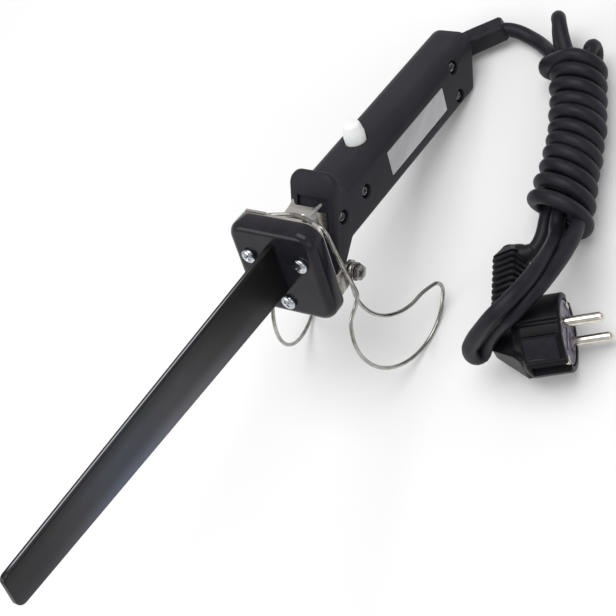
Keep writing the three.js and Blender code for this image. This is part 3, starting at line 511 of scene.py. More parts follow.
# solids that stay: nuts, and what lies inside the handle and the shield
dress(flecked("ceramic", (0.62, 0.58, 0.5), (0.75, 0.71, 0.63), 0.6), "ceramic_insulator")
dress(flecked("mica", (0.36, 0.29, 0.19), (0.5, 0.42, 0.3), 0.5), "heating_strip")
dress(flecked("housing", (0.1, 0.105, 0.11), (0.16, 0.165, 0.17), 0.5), "switch_body", "terminal_block")
dress(flecked("brass", (0.5, 0.35, 0.12), (0.68, 0.5, 0.2), 0.3, metal=1),
      "switch_tab_rear", "switch_tab_front")
dress(flecked("brown", (0.1, 0.045, 0.02), (0.16, 0.08, 0.04), 0.5), "supply_lead_brown", "switch_lead")
dress(flecked("blue", (0.03, 0.08, 0.22), (0.06, 0.14, 0.34), 0.5), "supply_lead_blue")
# painted shade: darker copies of the lead colours for the heater leads, which lie in shade
dress(flecked("shadedBrownLead", (0.016, 0.009, 0.006), (0.03, 0.017, 0.011), 0.6), "heater_lead_brown")
dress(flecked("shadedBlueLead", (0.006, 0.009, 0.022), (0.01, 0.017, 0.042), 0.6), "heater_lead_blue")
dress(zincFinish, *[n for n in nodes if n.startswith(("shield_nut", "stand_nut", "clamp_screw"))])
dress(nickelFinish, "blade_flange", "cord_clamp")
dress(cordFinish, "cord_core")
print("finishes:", len(bpy.data.materials))


# camera, at the photograph's angle

cameraSettings = Settings(
    place=(132.21, 378.28, 620.17), right=(-0.3311, 0.814, -0.4772),
    down=(0.9264, 0.1844, -0.3283), lens=83.2, sensor=36, near=0.01, far=20)


def makeCamera():
    data = bpy.data.cameras.new("camera")
    data.lens, data.sensor_width = cameraSettings.lens, cameraSettings.sensor
    data.clip_start, data.clip_end = cameraSettings.near, cameraSettings.far
    right = Vector(cameraSettings.right).normalized()
    up = -Vector(cameraSettings.down)
    up = (up - right * up.dot(right)).normalized()
    turn = Matrix((right, up, right.cross(up))).transposed().to_4x4()
    camera = linked("camera", data)
    camera.matrix_world = Matrix.Translation(Vector(cameraSettings.place) * mm) @ turn
    bpy.context.scene.camera = camera


makeCamera()


# the lead: one line from the gland to the plug

cordSettings = Settings(
    radius=3.75, sides=16, step=1.5,
    gap=0.06,  # above the floor
    axis=[(-157.2, 73.1), (-143.4, 77.6), (-118, 85), (-94.4, 88.2), (-73.7, 90.9)],
    faceOn=34,  # degrees from the top to the side that faces out
    slope=0.2,  # how far each turn leans along the hank
    lean=(0.88, 0.48), turns=(0.9, 11.42), perTurn=36, easing=0.3,
    wobble=[(0.22, 2.7, 0.6), (0.25, 1.9, 2)],  # of radius and place: size, pace, start
    firstTurn=3.2, margins=(7.5, 8),
    spacing=[7.5, 8, 8, 7.6, 7.5, 7.5, 7.5, 7.6, 8.3, 10.6],
    turnRadius=[(0.8, 11.2), (2, 10.6), (6, 10.8), (8, 11.2), (9, 11.7), (10, 12.4), (11, 14.2),
        (11.5, 13.6)],
    height=[(0, 14.6), (30, 14.7), (55, 15.4), (72, 16.3), (84, 18)],
    heightEase=6,
    lead=[(-173.9, 21.4, 9.2), (-175, 24.4, 8.8), (-175.2, 30.6, 6.8), (-173.2, 38, 5),
        (-170.9, 43.1, 5.2), (-167.7, 48.3, 6.5), (-162, 56, 10)],
    dive=[(-4, -11.2, -4.8), (0, -6.6, -5.2), (4, -0.8, -4.2), (7.2, 4.2, -4.6), (8.2, 6, -7.4),
        (6, 4, -10.6), (1.8, -3, -11), (0.2, -11.2, -8.8), (0.2, -16.6, -1.6),
        (0.4, -14.8, 5.2), (1.2, -8.4, 9.2)],
    tuckIn=[(84.4, -5.4, -10.8), (83.4, -8.9, -8.4), (80, -9.4, -6), (75, -7, -4.8), (66, -1.5, -4.6),
        (40, 0.5, -4.4), (14, 3.4, -3.6)],
    shortLoop=[(3, 6.2, -3.4), (-2.4, 8.2, -2.8), (-5.4, 8.8, -1), (-6.4, 8.8, 1.6), (-5.2, 8.4, 4.2),
        (-2, 7.6, 5.2), (3, 5.6, 4.6), (16, 4.8, 3.2), (40, 3.4, 3.4), (66, 2.2, 4.4)],
    longLoop=[(66, 5.4, 0.6), (40, 3.8, 0.4), (18, 0.4, 1.8), (8, -1.2, 3), (3, -2.2, 3.6),
        (-4, -4, 6.2), (-12, -5.7, 8.1), (-20.6, -7.1, 8.6), (-23.7, -7.9, 7.4), (-24.8, -8.5, 4.8),
        (-23.6, -9.2, 2.2), (-20.5, -9.7, 0.9), (-12, -8.9, 0.7), (-4, -7.3, 0), (3, -5.8, -1.4),
        (12, -4.8, -2.6), (40, -4.6, -2.4), (64, -6, -2)],
    strands=[(-71.3, 92.1, 20.6), (-67.1, 93.1, 21.3), (-63, 95.2, 23.9), (-53.6, 98.4, 31.9),
        (-40.5, 100.2, 42.5), (-28.7, 99.1, 49.2), (-19.3, 96, 52.3), (-11.8, 90.7, 51.2),
        (-6.3, 84.1, 44.6), (-1.9, 78.1, 37.3), (1.2, 74.2, 30.7), (2.7, 72.8, 23.9),
        (2.4, 73.5, 19.2), (0.3, 75.1, 17.4), (-2.4, 76.4, 19.5), (-5.5, 79.2, 23.8),
        (-8.9, 84.2, 30.4), (-11.9, 90, 37), (-15.1, 95.5, 42.6), (-23.1, 100.4, 43.6),
        (-31.7, 103.4, 41.2), (-47.6, 105.7, 34.4), (-62.2, 105.3, 27), (-72.1, 102.8, 22),
        (-75.3, 99.6, 21)],
    tail=[(-73.2, 82.3, 12.5), (-69, 82.8, 12.4), (-65, 82.8, 12.1), (-61.3, 82.3, 11.9),
        (-57.9, 80.9, 11.9), (-55.2, 78, 12.2), (-53.9, 74.4, 12.6), (-52.9, 71.9, 13), (-51.4, 71.1, 13.4)],
)


def hankFrame():  # places along, across and over the hank's axis
    c = cordSettings
    axis = smoothLine([(x, y, 0) for x, y in c.axis], 0.5)
    step = lineLength(axis) / (len(axis) - 1)

    def at(s, across, over):
        i = min(len(axis) - 2, max(0, int(s / step)))
        along = (axis[i + 1] - axis[i]).normalized()
        base = axis[i] + along * (s - i * step)
        side = Vector((-along.y, along.x, 0))
        return base + side * across + Vector((0, 0, soft(c.height, s, c.heightEase) + over))

    return at


def hankTurns(at):
    c = cordSettings
    places = [c.firstTurn]
    for gap in c.spacing:
        places.append(places[-1] + gap)
    before, after = c.margins
    table = [(0, places[0] - before)] + [(i + 1, s) for i, s in enumerate(places)]
    table.append((len(places) + 1, places[-1] + after))
    first, last = c.turns
    turns = []
    for i in range(int((last - first) * c.perTurn) + 1):
        k = first + i / c.perTurn
        angle = radians(c.faceOn) + 2 * pi * (k - 1)
        swell, drift = (size * sin(pace * k + start) for size, pace, start in c.wobble)
        radius = soft(c.turnRadius, k, c.easing) + swell
        s = soft(table, k, c.easing) + drift
        across, over = radius * sin(angle), radius * cos(angle)
        s += c.slope * (c.lean[0] * across - c.lean[1] * over)
        turns.append(at(s, across, over))
    return turns


def cordLine():
    c = cordSettings
    at = hankFrame()
    points = [Vector(p) for p in c.lead] + [at(*p) for p in c.dive] + hankTurns(at)
    points += [at(*p) for p in c.tuckIn + c.shortLoop]
    points += [Vector(p) for p in c.strands]
    points += [at(*p) for p in c.longLoop]
    points += [Vector(p) for p in c.tail]
    line = smoothLine(points, c.step)
    lowest = c.radius + c.gap
    return [Vector((p.x, p.y, max(p.z, lowest))) for p in line]  # it lies on the floor


cordPath = cordLine()
cordLength = lineLength(cordPath) * mm
cordMesh = meshOf(tubeShape(cordPath, cordSettings.radius, cordSettings.sides, 0.05), leadSpace, 60)
mainsCord = setPiece("mainsCord", cordMesh, cordFinish, "cord_lead", "cord_hank", "cord_loop", "cord_tail",
                     slot="rubber")
cordGap = min(p.z for p in cordPath) - cordSettings.radius
print("cord:", round(cordLength, 3), "m, lowest", round(cordGap, 2), "mm")


# blade

bladeSettings = Settings(
    length=197, thick=3.6, root=0.3, rootTop=17.8, rootLow=-10.4, tipTop=10,
    tipLow=-8.5, topRound=3, lowRound=4, tang=(13, -5, -17), edge=0.95)


def makeBlade():
    b = bladeSettings
    top, low, back = b.tang

    def corner(height, first, radius, inset):
        return arcLine(b.length - radius, height, radius - inset, first, first + 90, 9)

    def loop(y, inset):
        root = b.root + inset
        spots = [(root, b.rootLow + inset)]
        spots += corner(b.tipLow + b.lowRound, -90, b.lowRound, inset)
        spots += corner(b.tipTop - b.topRound, 0, b.topRound, inset)
        spots += [(root, b.rootTop - inset), (root, top - inset), (back + inset, top - inset),
                  (back + inset, low + inset), (root, low + inset)]
        return [(x, y, z) for x, z in spots]

    half = b.thick / 2
    rounds = [(b.edge * rise, b.edge * inset) for rise, inset in quarterTurn(5)]
    loops = [loop(rise - half, inset) for rise, inset in reversed(rounds)]
    loops += [loop(half - rise, inset) for rise, inset in rounds]
    setPiece("bladeBar", meshOf(loftShape(loops), knifeSpace), bladeFinish, "blade", slot="blade_black")


makeBlade()


# hand shield and its screws

shieldSettings = Settings(
    wide=49, tall=52, corner=9, leastCorner=1, deep=10, sheet=1.2, bend=4,
    flat=(3, 0.6), rim=[(0.4, 0), (0.1, 0.12), (0, 0.45), (0, 0.9), (0.3, 1.2)])
shieldScrewSettings = Settings(
    circle=17, angles=(30, 150, 270), profile=[(2, -18), (2, 0.3), (3.65, 0.3), (3.8, 0.5), (3.8, 1.2)],
    dome=(3.8, 1.2, 1.5, 10), top=2.7, sides=40, cross=(1.5, 2.3), turns=(18, 64, 40))
crossSettings = Settings(foot=(0.45, 0.1), mouth=(1, 0.2), over=0.5)  # half lengths and widths


def makeShield():
    s = shieldSettings

    def loop(x, inset):
        across, over = s.wide / 2 - inset, s.tall / 2 - inset
        r = max(s.leastCorner, s.corner - inset)
        return [(x, a, b) for a, b in roundedBox(-across, across, -over, over, r, r, 9)]

    inner = s.bend - s.sheet
    loops = [loop(0, s.bend + more) for more in s.flat]
    loops += [loop(-s.bend * fall, s.bend * inset) for inset, fall in quarterTurn(9)]
    loops += [loop(rise - s.deep, inset) for rise, inset in s.rim]
    for inset, fall in reversed(quarterTurn(6)):
        loops.append(loop(-s.sheet - inner * fall, s.sheet + inner * inset))
    mesh = meshOf(loftShape(loops), knifeSpace, 40)
    setPiece("handShield", mesh, shieldFinish, "hand_shield", slot="shield_black")


def crossCut(axis, centre, place, deep, size, turn):  # the cutter for a cross recess
    bars = []
    for k in range(2):
        c, s = cos(radians(turn + 90 * k)), sin(radians(turn + 90 * k))

        def end(name, depth):
            half, width = (size * share for share in crossSettings[name])
            spots = []
            for a, b in ((-half, -width), (half, -width), (half, width), (-half, width)):
                spot = placed(axis, a * c - b * s, a * s + b * c, depth)
                spots.append(Vector(spot) + Vector(centre))
            return spots

        bars.append(loftShape([end("foot", place - deep), end("mouth", place + crossSettings.over)]))
    return bars


def makeScrew(name, solid, i, finish, axis, centre, settings):
    q = settings
    profile = q.profile + domeLine(*q.dome) + [(0, q.top)]
    screw = meshOf(turnedShape(axis, profile, centre, q.sides))
    screw = carved(screw, *crossCut(axis, centre, q.top, *q.cross, q.turns[i]))
    screw.transform(knifeSpace)
    smoothen(screw, 35)
    setPiece(name + str(i + 1), screw, finish, solid + str(i + 1), slot="zinc")


def makeShieldScrews():
    q = shieldScrewSettings
    for i, degrees in enumerate(q.angles):
        y, z = (q.circle * f(radians(degrees)) for f in (cos, sin))
        makeScrew("shieldScrew", "shield_screw_", i, zincFinish, "x", (0, y, z), q)


makeShield()
makeShieldScrews()


# stand: bracket, wire, bolts

standSettings = Settings(
    wire=1, boltX=-23, boltZ=-12, eye=3.35, eyeY=23.8,
    footX=-38.6, foot=30.6, tip=5.2, tipAngle=202, inner=28.8, innerX=-47.6,
    innerZ=-22.6, splayX=0.213, splayZ=0.108, heel=-168.5, sole=-10.5, neck=9,
    eyeArc=(262, 10, 9), innerArc=(-4, -103, 8), tipArc=(92, 194, 4), footArc=(-154, 26, 12),
    rise=[(4.6, 1.4, -6.4), (2.6, 3, 0)],  # past the eye, on the way up
    shoulder=[(-17.2, 25.8, -15), (-16.6, 24.2, -6), (-16.2, 22.4, 5), (-16.4, 20.6, 14),
        (-16.9, 18.4, 17.4), (-18.2, 13.5, 18.25), (-20.4, 6, 18.3)],
    middle=(-21.6, 0, 18.3),
)


def makeWire():
    w = standSettings
    lean = radians(stance.pitch)
    floor = sin(lean) * w.heel + cos(lean) * w.sole
    footZ = (floor + w.wire + w.foot - sin(lean) * w.footX) / cos(lean)
    tipTurn = radians(w.tipAngle)
    tipX = w.footX + (w.foot - w.tip) * cos(tipTurn)
    tipZ = footZ + (w.foot - w.tip) * sin(tipTurn)
    strandX, neckZ = w.boltX + w.eye, w.boltZ - w.neck

    def splayed(spot):
        x, z = spot
        return (x, w.eyeY + w.splayX * (strandX - x) + w.splayZ * (neckZ - z), z)

    half = [(x, w.eyeY, z) for x, z in arcLine(w.boltX, w.boltZ, w.eye, *w.eyeArc)]
    half += [splayed(p) for p in arcLine(w.innerX, w.innerZ, w.inner, *w.innerArc)]
    half += [splayed(p) for p in arcLine(tipX, tipZ, w.tip, *w.tipArc)]
    half += [splayed(p) for p in arcLine(w.footX, footZ, w.foot, *w.footArc)]
    half += [(strandX + x, w.eyeY + y, neckZ + z) for x, y, z in w.rise]
    half += w.shoulder
    route = half + [w.middle] + [(x, -y, z) for x, y, z in reversed(half)]
    mesh = meshOf(tubeShape(smoothLine(route, 0.7), w.wire, 14, 0.25), knifeSpace, 60)
    setPiece("standWire", mesh, wireFinish, "stand_wire", slot="bright_wire")


def cleanCopy(name, near=1e-6, flat=1.5):  # a solid's own mesh with its flat faces whole
    made = bmesh.new()
    made.from_mesh(nodes[name].data)
    bmesh.ops.remove_doubles(made, verts=made.verts, dist=near)
    bmesh.ops.dissolve_limit(made, angle_limit=radians(flat), verts=made.verts, edges=made.edges)
    mesh = bpy.data.meshes.new(name)
    made.to_mesh(mesh)
    made.free()
    smoothen(mesh, 30)
    return mesh


tongueSettings = Settings(
    front=-18.4, rear=-29.9, half=7.4, top=17.1, sheet=1.2, across=24, along=12,
    corner=0.7, tips=2.7, flare=0.9, lift=1, root=(1.4, 0.35),
    cut=(-29, -18.6, -12, 12, 4, 20), farCut=(-70, -28.8, -12, 0, 4, 20),
    nearCut=[(-28.8, 20), (-70, 20), (-70, 8), (-38, 8), (-28.8, 15.6)], nearSide=(-0.5, 12),
    tab=(-11.8, -10.35, -18.6, -7.2, 22.6, 26.3), wall=(0.6, -0.3, 3.5, -0.6),
    lance=(-22.4, 3.4, 1.9), lanceFlat=0.8, slit=0.4, edge=0.2,
)


def tongueShape():  # the sheet's free end, with its two corners drawn out and up
    t = tongueSettings
    spread, end = t.root
    grids = []
    for drop in (0, t.sheet):
        grid = []
        for i in range(t.along + 1):
            row = []
            u = i / t.along
            for k in range(t.across + 1):
                v = 2 * k / t.across - 1
                corner = ease((abs(v) - t.corner) / (1 - t.corner))
                x = t.front + (t.rear - t.tips * corner - t.front) * u
                y = v * (t.half + t.flare * corner * u ** 3 + spread * (1 - ease(u / end)))
                row.append((x, y, t.top + t.lift * corner * u ** 3 - drop))
            grid.append(row)
        grids.append(grid)
    return loftShape([top + list(reversed(low)) for top, low in zip(*grids)])


def makeBracket():
    t = tongueSettings
    plain = cleanCopy("stand_bracket")
    plain.transform(knifeSpace.inverted())
    nearCut = prismShape("y", t.nearCut, *t.nearSide)
    plain = carved(plain, boxShape(*t.cut), boxShape(*t.farCut), nearCut)
    shapes = [boxShape(*t.tab)]
    rear, front, low, high = t.wall
    for side in (1, -1):
        y0, y1 = sorted((side * (t.half - t.sheet), side * t.half))
        shapes.append(boxShape(t.rear + rear, t.front + front, y0, y1, low, t.top + high))
    x, y, radius = t.lance
    arc = [Vector((x + a, y + t.lanceFlat * b, t.top)) for a, b in arcLine(0, 0, radius, 70, 250, 13)]
    slit = tubeShape(arc, t.slit, 10)  # round the lanced ear
    tongue = carved(meshOf(tongueShape(), None, 30), slit)
    both = bmesh.new()
    for mesh in (plain, meshOf(joinShapes(*shapes), None, 30), tongue):
        both.from_mesh(mesh)
    whole = bpy.data.meshes.new("bracket")
    both.to_mesh(whole)
    both.free()
    whole.transform(knifeSpace)
    smoothen(whole, 30)
    bracket = setPiece("standBracket", whole, nickelFinish, "stand_bracket", slot="nickel")
    eased(bracket, t.edge)


boltSettings = Settings(
    sides=48, flat=3.5, wide=3.9, crown=28, shank=[(2, 16.5), (2, 26.7)],
    head=[(3.75, 26.2), (4.04, 26.45), (4.04, 27.9), (3.7, 28.5), (2.6, 28.95), (0.01, 29.1)],
    washer=[(2.35, 25.1), (4.35, 25.1), (4.5, 25.25), (4.5, 25.75), (4.35, 25.9), (2.35, 25.9),
        (2.35, 25.1)],
)


def makeBolts():
    q, x, z = boltSettings, standSettings.boltX, standSettings.boltZ
    for name, side in (("left", 1), ("right", -1)):
        head = []
        for radius, place in q.head:
            loop = []
            for k in range(q.sides):
                a = 2 * pi * k / q.sides
                flat = q.flat / cos((a % (pi / 3)) - pi / 6)  # six flats, rounded above
                r = min(radius, flat) if place < q.crown else radius * min(1, flat / q.wide)
                loop.append((x + r * cos(a), side * place, z + r * sin(a)))
            head.append(loop)
        shank = turnedShape("y", [(r, side * y) for r, y in q.shank], (x, 0, z), 24)
        setPiece("standBolt." + name, meshOf(joinShapes(loftShape(head), shank), knifeSpace, 35), shadedBoltFinish,
                 "stand_bolt_" + name, slot="zinc")
        loops = [[(x + a, side * y, z + b) for a, b in ring(r, 40)] for r, y in q.washer]
        setPiece("standWasher." + name, meshOf(loftShape(loops, False), knifeSpace, 35), shadedBoltFinish,
                 "stand_washer_" + name, slot="zinc")


makeBracket()
makeWire()
makeBolts()
print("stand done")


# handle: two shells, screws, rating plate

handleSettings = Settings(
    half=13, top=20.5, low=-10.5, topRound=8, lowRound=4, front=-32, axis=5,
    slant=0.3839, heel=-168.5, rearTop=-178,
    crest=[(0, 28), (0.022, 28), (0.034, 26.2), (0.052, 22.6), (0.082, 20.5), (1, 20.5)],
    crestEase=0.006, belly=[(0, -19.5), (0.058, -19.5), (0.108, -10.5), (1, -10.5)],
    bellyEase=0.008, frontRound=6.3, frontEnd=(0.03, 0.06), leastRound=0.8, edge=1.3,
    seam=0.015, marks=[0.012 + 0.0042 * k for k in range(30)] + [
        0.15, 0.2, 0.3, 0.4, 0.5, 0.6, 0.7, 0.8, 0.9, 0.96],
    cavity=(-163, -44, -10.2, 10.2, -7.5, 17.5), mouth=(-45, 8.8, -3.3),
    mouthWall=(8.2, 17.4, 1.6, 0.1),  # above the leads, a wall closes the mouth
    buttonHole=[(5.8, 16), (5.8, 20.1), (6.3, 20.6), (6.3, 24)], buttonX=-79,
    glandHole=[(5.8, -190), (5.8, -160)], glandZ=6.5,
    plate=(-141, -84, -3.2, 10.7), plateSkin=(12.4, 12.9), plateRound=0.6, plateEdge=0.12,
    plateBed=(-141.3, -83.7, 12.1, 14, -3.5, 11),
    screws=[(-40, 5), (-61, 4.5), (-155, 13.5), (-155, -4)],
    recess=[(3.6, 10.4), (3.6, 12.6), (4.05, 13.05), (4.05, 15)],
)
handleScrewSettings = Settings(
    profile=[(1.3, -11), (1.3, 10.7), (2.5, 10.7), (2.6, 10.8), (2.6, 11.4)], dome=(2.6, 11.4, 1, 15),
    top=12.4, sides=32, cross=(1.1, 1.6), turns=(25, 62, 99, 136))


def handleFront(z):
    return handleSettings.front - (z - handleSettings.axis) * handleSettings.slant


def handleBody():
    h = handleSettings
    rearSlant = (h.rearTop - h.heel) / (h.top - h.low)
    start, span = h.frontEnd

    def loop(u, inset, shift):
        top = soft(h.crest, u, h.crestEase) - inset
        low = soft(h.belly, u, h.bellyEase) + inset
        half = h.half - inset
        high = h.frontRound + (h.topRound - h.frontRound) * ease((u - start) / span)
        lowRound, topRound = (max(h.leastRound, r - inset) for r in (h.lowRound, high))
        spots = []
        for y, z in roundedBox(-half, half, low, top, lowRound, topRound, 9):
            front = handleFront(z)
            rear = h.heel + (z - h.low) * rearSlant
            spots.append((front + (rear - front) * u + shift, y, z))
        return spots

    rounds = [(h.edge * inset, h.edge * shift) for inset, shift in quarterTurn(5)]
    loops = [loop(0, inset, -shift) for inset, shift in rounds]
    loops += [loop(u, 0, 0) for u in h.marks]
    loops += [loop(1, inset, shift) for inset, shift in reversed(rounds)]
    return loftShape(loops)


def handleCutters():
    h = handleSettings
    back, half, sole = h.mouth
    low, high, deep, overlap = h.mouthWall
    mouth = [(0, low - overlap), (0, high)] + [(handleFront(z) - deep, z) for z in (high, low - overlap)]
    cutters = [
        boxShape(*h.cavity),
        boxShape(back, 0, -half, half, sole, low),
        prismShape("y", mouth, -half, half),
        turnedShape("z", h.buttonHole, (h.buttonX, 0, 0), 48),
        turnedShape("x", h.glandHole, (0, 0, h.glandZ), 40),
        boxShape(*h.plateBed),
    ]
    cutters += [turnedShape("y", h.recess, (x, 0, z), 40) for x, z in h.screws]
    return cutters


def makeHandle():
    h = handleSettings
    body = carved(meshOf(handleBody()), *handleCutters())
    for name, side in (("left", 1), ("right", -1)):
        shell = halved(body, side, h.seam)
        shell.transform(knifeSpace)
        smoothen(shell, 28)
        setPiece("handleShell." + name, shell, handleFinish, "handle_" + name + "_shell", slot="handle_black")
    for i, (x, z) in enumerate(h.screws):
        makeScrew("handleScrew", "handle_screw_", i, shadedScrewFinish, "y", (x, 0, z), handleScrewSettings)
    outline = roundedBox(*h.plate, h.plateRound, h.plateRound, 4)
    mesh = meshOf(prismShape("y", outline, *h.plateSkin), knifeSpace)
    plate = setPiece("ratingPlate", mesh, labelFinish, "rating_plate", slot="bare_label")
    eased(plate, h.plateEdge)


makeHandle()
print("handle done")


# push button and its spring

buttonSettings = Settings(
    x=-79, dome=(4.3, 28.9, 2.1, 9), top=31,
    profile=[(0, 2.5), (2.2, 2.5), (2.5, 2.8), (2.5, 14.8), (7, 14.8), (7, 17.2),
        (5.4, 17.2), (5.4, 24.6), (5.25, 25.1), (4.5, 28.4), (4.35, 28.9)],
    spring=(4, 0.45, 6, 5.3, 14.5), perTurn=24)


def makeButton():
    b = buttonSettings
    profile = b.profile + domeLine(*b.dome) + [(0, b.top)]
    mesh = meshOf(turnedShape("z", profile, (b.x, 0, 0), 48), knifeSpace, 40)
    setPiece("pushButton", mesh, buttonFinish, "push_button", body="button", slot="button_white")
    radius, wire, turns, low, high = b.spring
    rise = high - low - 2 * wire
    count = turns * b.perTurn
    coil = []
    for k in range(count + 1):
        a, up = 2 * pi * k / b.perTurn, low + wire + rise * k / count
        coil.append(Vector((b.x + radius * cos(a), radius * sin(a), up)))
    mesh = meshOf(tubeShape(coil, wire, 10), knifeSpace, 60)
    spring = setPiece("buttonSpring", mesh, zincFinish, "button_spring", slot="zinc")
    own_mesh(spring)


makeButton()


# gland at the rear of the handle

glandSettings = Settings(
    width=11, corner=2.4, taper=0.04, blunt=(0.7, 1.6), axis=6.5,
    bend=[(-178, 0, 6.5), (-184.5, 0.5, 7.2), (-188, 13.5, 11), (-193.4, 23.4, 14.4)],
    neck=[(5.5, -179), (5.5, -162.7), (6.6, -162.7), (6.6, -160.4), (0.1, -160.4)])


def makeGland():
    g = glandSettings
    a, b, c, d = (Vector(p) for p in g.bend)
    line = []
    for k in range(41):
        t = k / 40
        line.append(a * (1 - t) ** 3 + b * 3 * t * (1 - t) ** 2 + c * 3 * t * t * (1 - t) + d * t ** 3)
    line = evenLine(line, 0.7)
    drop, reach = g.blunt

    def section(i, share):
        half = g.width / 2 * (1 - g.taper * share) - drop * (1 - ease((len(line) - 1 - i) / reach))
        return roundedBox(-half, half, -half, half, g.corner, g.corner, 6)

    neck = turnedShape("x", g.neck, (0, 0, g.axis), 40)
    mesh = meshOf(joinShapes(sweepShape(line, section), neck), knifeSpace, 40)
    setPiece("cordGland", mesh, glandFinish, "cord_gland", slot="rubber")


makeGland()


# plug: body, face, pins, strain relief

plugSettings = Settings(
    radius=[(-24, 14), (-19.4, 18.8), (-18.6, 19)], block=-18, collar=-24, taper=13,
    offset=(7, -5.7), low=[(-37, -3), (-22, -16.5)], top=[(-37, -1.4), (-24, 9.6)], high=17,
    under=-10, square=30, pad=(119, 158, -19.6, -1.2, 0.9), groove=(97, 103.2, -21, 2, 1),
    edges=(3.4, 1.2), bed=16.3, channel=(11, 1.5), channelEnds=(-17.6, 5, 0.8), sides=300,
    rows=[0, -0.1, -0.3, -0.6, -1, -1.6] + [-2.2 - 0.4 * k for k in range(88)], round=(0.8, -1),
    well=[(13, -2.4), (15.9, -2.4), (15.9, -0.3), (16.1, 0)], lip=(16.1, -3),
    back=[(0.06, -0.5), (0.3, -0.7)],
    face=[(0.1, -2.2), (15.6, -2.2), (15.6, -0.85), (15.3, -0.5), (14.3, -0.5), (13.9, -1), (0.1, -1)],
    bar=(-1.4, -0.55, -9, 9, -0.8, 0.8),
    boss=[(4.6, -1.4), (4.6, -0.6), (4.3, -0.3), (3.1, -0.3), (2.9, -0.8)],
    pins=(9.5, -9.5), pin=(2.4, -5.7, 16.6), strip=(-0.3, 0.3, -2.5, 2.5, 0.25, 0.25, 2),
    clip=[(-17, 15.3), (-5, 15.3), (-2.6, 16.1), (-1, 16.3), (-0.35, 15.4), (-0.5, 13.2)],
)
padSettings = Settings(
    inset=(1.4, 3.6), steps=(36, 62), ribs=[(146.4, 147.8), (150.8, 152.2)],
    ribEdge=0.7, ribReach=(2.2, 9.5, 0.8), ribTall=0.35, lift=0.05, thick=0.5)


def aimed(x, y, z, reach, degrees):  # a place that far from the axis at y and z
    a = radians(degrees)
    return (x, y + reach * cos(a), z + reach * sin(a))


def plugSpot(x, degrees):  # a point of the body's skin, seen from its axis in one direction
    p = plugSettings
    c, s = cos(radians(degrees)), sin(radians(degrees))
    rear = min(1, max(0, (p.collar - x) / p.taper))
    midY, midZ = (far * rear for far in p.offset)
    sides = [(c, p.high - midY), (-c, midY - stepped(p.low, x)),
             (s, stepped(p.top, x) - midZ), (-s, midZ - p.under)]
    power = p.square
    block = sum((limit / share) ** -power for share, limit in sides if share > 1e-3) ** (-1 / power)
    reach = max(block if x < p.block else 0, stepped(p.radius, x) if x >= p.collar else 0)
    turnEdge, alongEdge = p.edges
    for name, sign in (("pad", 1), ("groove", -1)):
        first, last, back, front, depth = p[name]
        for turn in (0, 180):
            amount = bump((degrees - turn) % 360, first, last, turnEdge) * bump(x, back, front, alongEdge)
            reach += sign * depth * amount
    half, edge = p.channel
    for middle in (0, 180, 360):  # channels for the earth clips
        amount = bump(degrees, middle - half, middle + half, edge) * bump(x, *p.channelEnds)
        reach += (p.bed - reach) * amount
    return reach, midY, midZ


def makePlugBody():
    p = plugSettings
    sides = p.sides
    drop, skinStart = p.round
    lip, lipEnd = p.lip
    loops = [[(x, a, b) for a, b in ring(r, sides)] for r, x in p.well]
    for x in p.rows:
        short = drop * (1 - min(1, x / skinStart)) ** 2
        loop = []
        for k in range(sides):
            d = 360 * k / sides
            r, y, z = plugSpot(min(x, skinStart), d)
            loop.append(aimed(x, y, z, max(r - short, lip if x > lipEnd else 1), d))
        loops.append(loop)
    end = [Vector(q) for q in loops[-1]]
    middle = sum(end, Vector()) / sides
    for share, out in p.back:
        loops.append([tuple(q.lerp(middle, share) + Vector((out, 0, 0))) for q in end])
    mesh = meshOf(loftShape(loops), plugSpace, 34)
    return setPiece("plugBody", mesh, plugFinish, "plug_body", slot="plug_black")


def makePlugPad(name, turn):  # a thin skin with two ribs over the body's raised grip
    q = padSettings
    first, last, back, front = plugSettings.pad[:4]
    ends, flanks = q.inset
    rows, columns = q.steps
    ribStart, ribEnd, ribEase = q.ribReach
    skinStart = plugSettings.round[1]
    loops = []
    for i in range(rows + 1):
        x = back + ends + (front - back - 2 * ends) * i / rows
        along = bump(x, back + ribStart, back + ribEnd, ribEase)
        outer, inner = [], []
        for k in range(columns + 1):
            d = first + flanks + (last - first - 2 * flanks) * k / columns
            rib = sum(bump(d, low, high, q.ribEdge) for low, high in q.ribs)
            r, y, z = plugSpot(min(x, skinStart), d + turn)
            outer.append(aimed(x, y, z, r + q.lift + q.ribTall * rib * along, d + turn))
            inner.append(aimed(x, y, z, r - q.thick, d + turn))
        loops.append(outer + inner[::-1])
    mesh = meshOf(loftShape(loops), plugSpace, 40)
    return setPiece("plugPad." + name, mesh, litPadFinish, "plug_body", slot="plug_black")


def makePlugFace():
    p = plugSettings
    shapes = [turnedShape("x", p.face, (0, 0, 0), 96)]
    shapes += [turnedShape("x", p.boss, (0, 0, z), 48) for z in p.pins]
    shapes.append(boxShape(*p.bar))
    mesh = meshOf(joinShapes(*shapes), plugSpace, 35)
    return setPiece("plugFace", mesh, faceFinish, "plug_face", slot="plug_grey")


def makePlug():
    p = plugSettings
    pieces = [makePlugBody(), makePlugPad("near", 0), makePlugPad("far", 180), makePlugFace()]
    radius, back, front = p.pin
    profile = [(radius, back), (radius, front)] + domeLine(radius, front, radius, 10) + [(0, front + radius)]
    for i, z in enumerate(p.pins):
        mesh = meshOf(turnedShape("x", profile, (0, 0, z), 36), plugSpace, 50)
        number = str(i + 1)
        pieces.append(setPiece("plugPin" + number, mesh, pinFinish, "plug_pin_" + number, slot="nickel"))
    for name, side in (("front", -1), ("rear", 1)):
        line = smoothLine([(x, side * y, 0) for x, y in p.clip], 0.5)
        mesh = meshOf(sweepShape(line, lambda i, share: roundedBox(*p.strip)), plugSpace, 40)
        pieces.append(setPiece("earthClip." + name, mesh, pinFinish, "plug_earth_clip_" + name,
                               slot="nickel"))
    return pieces


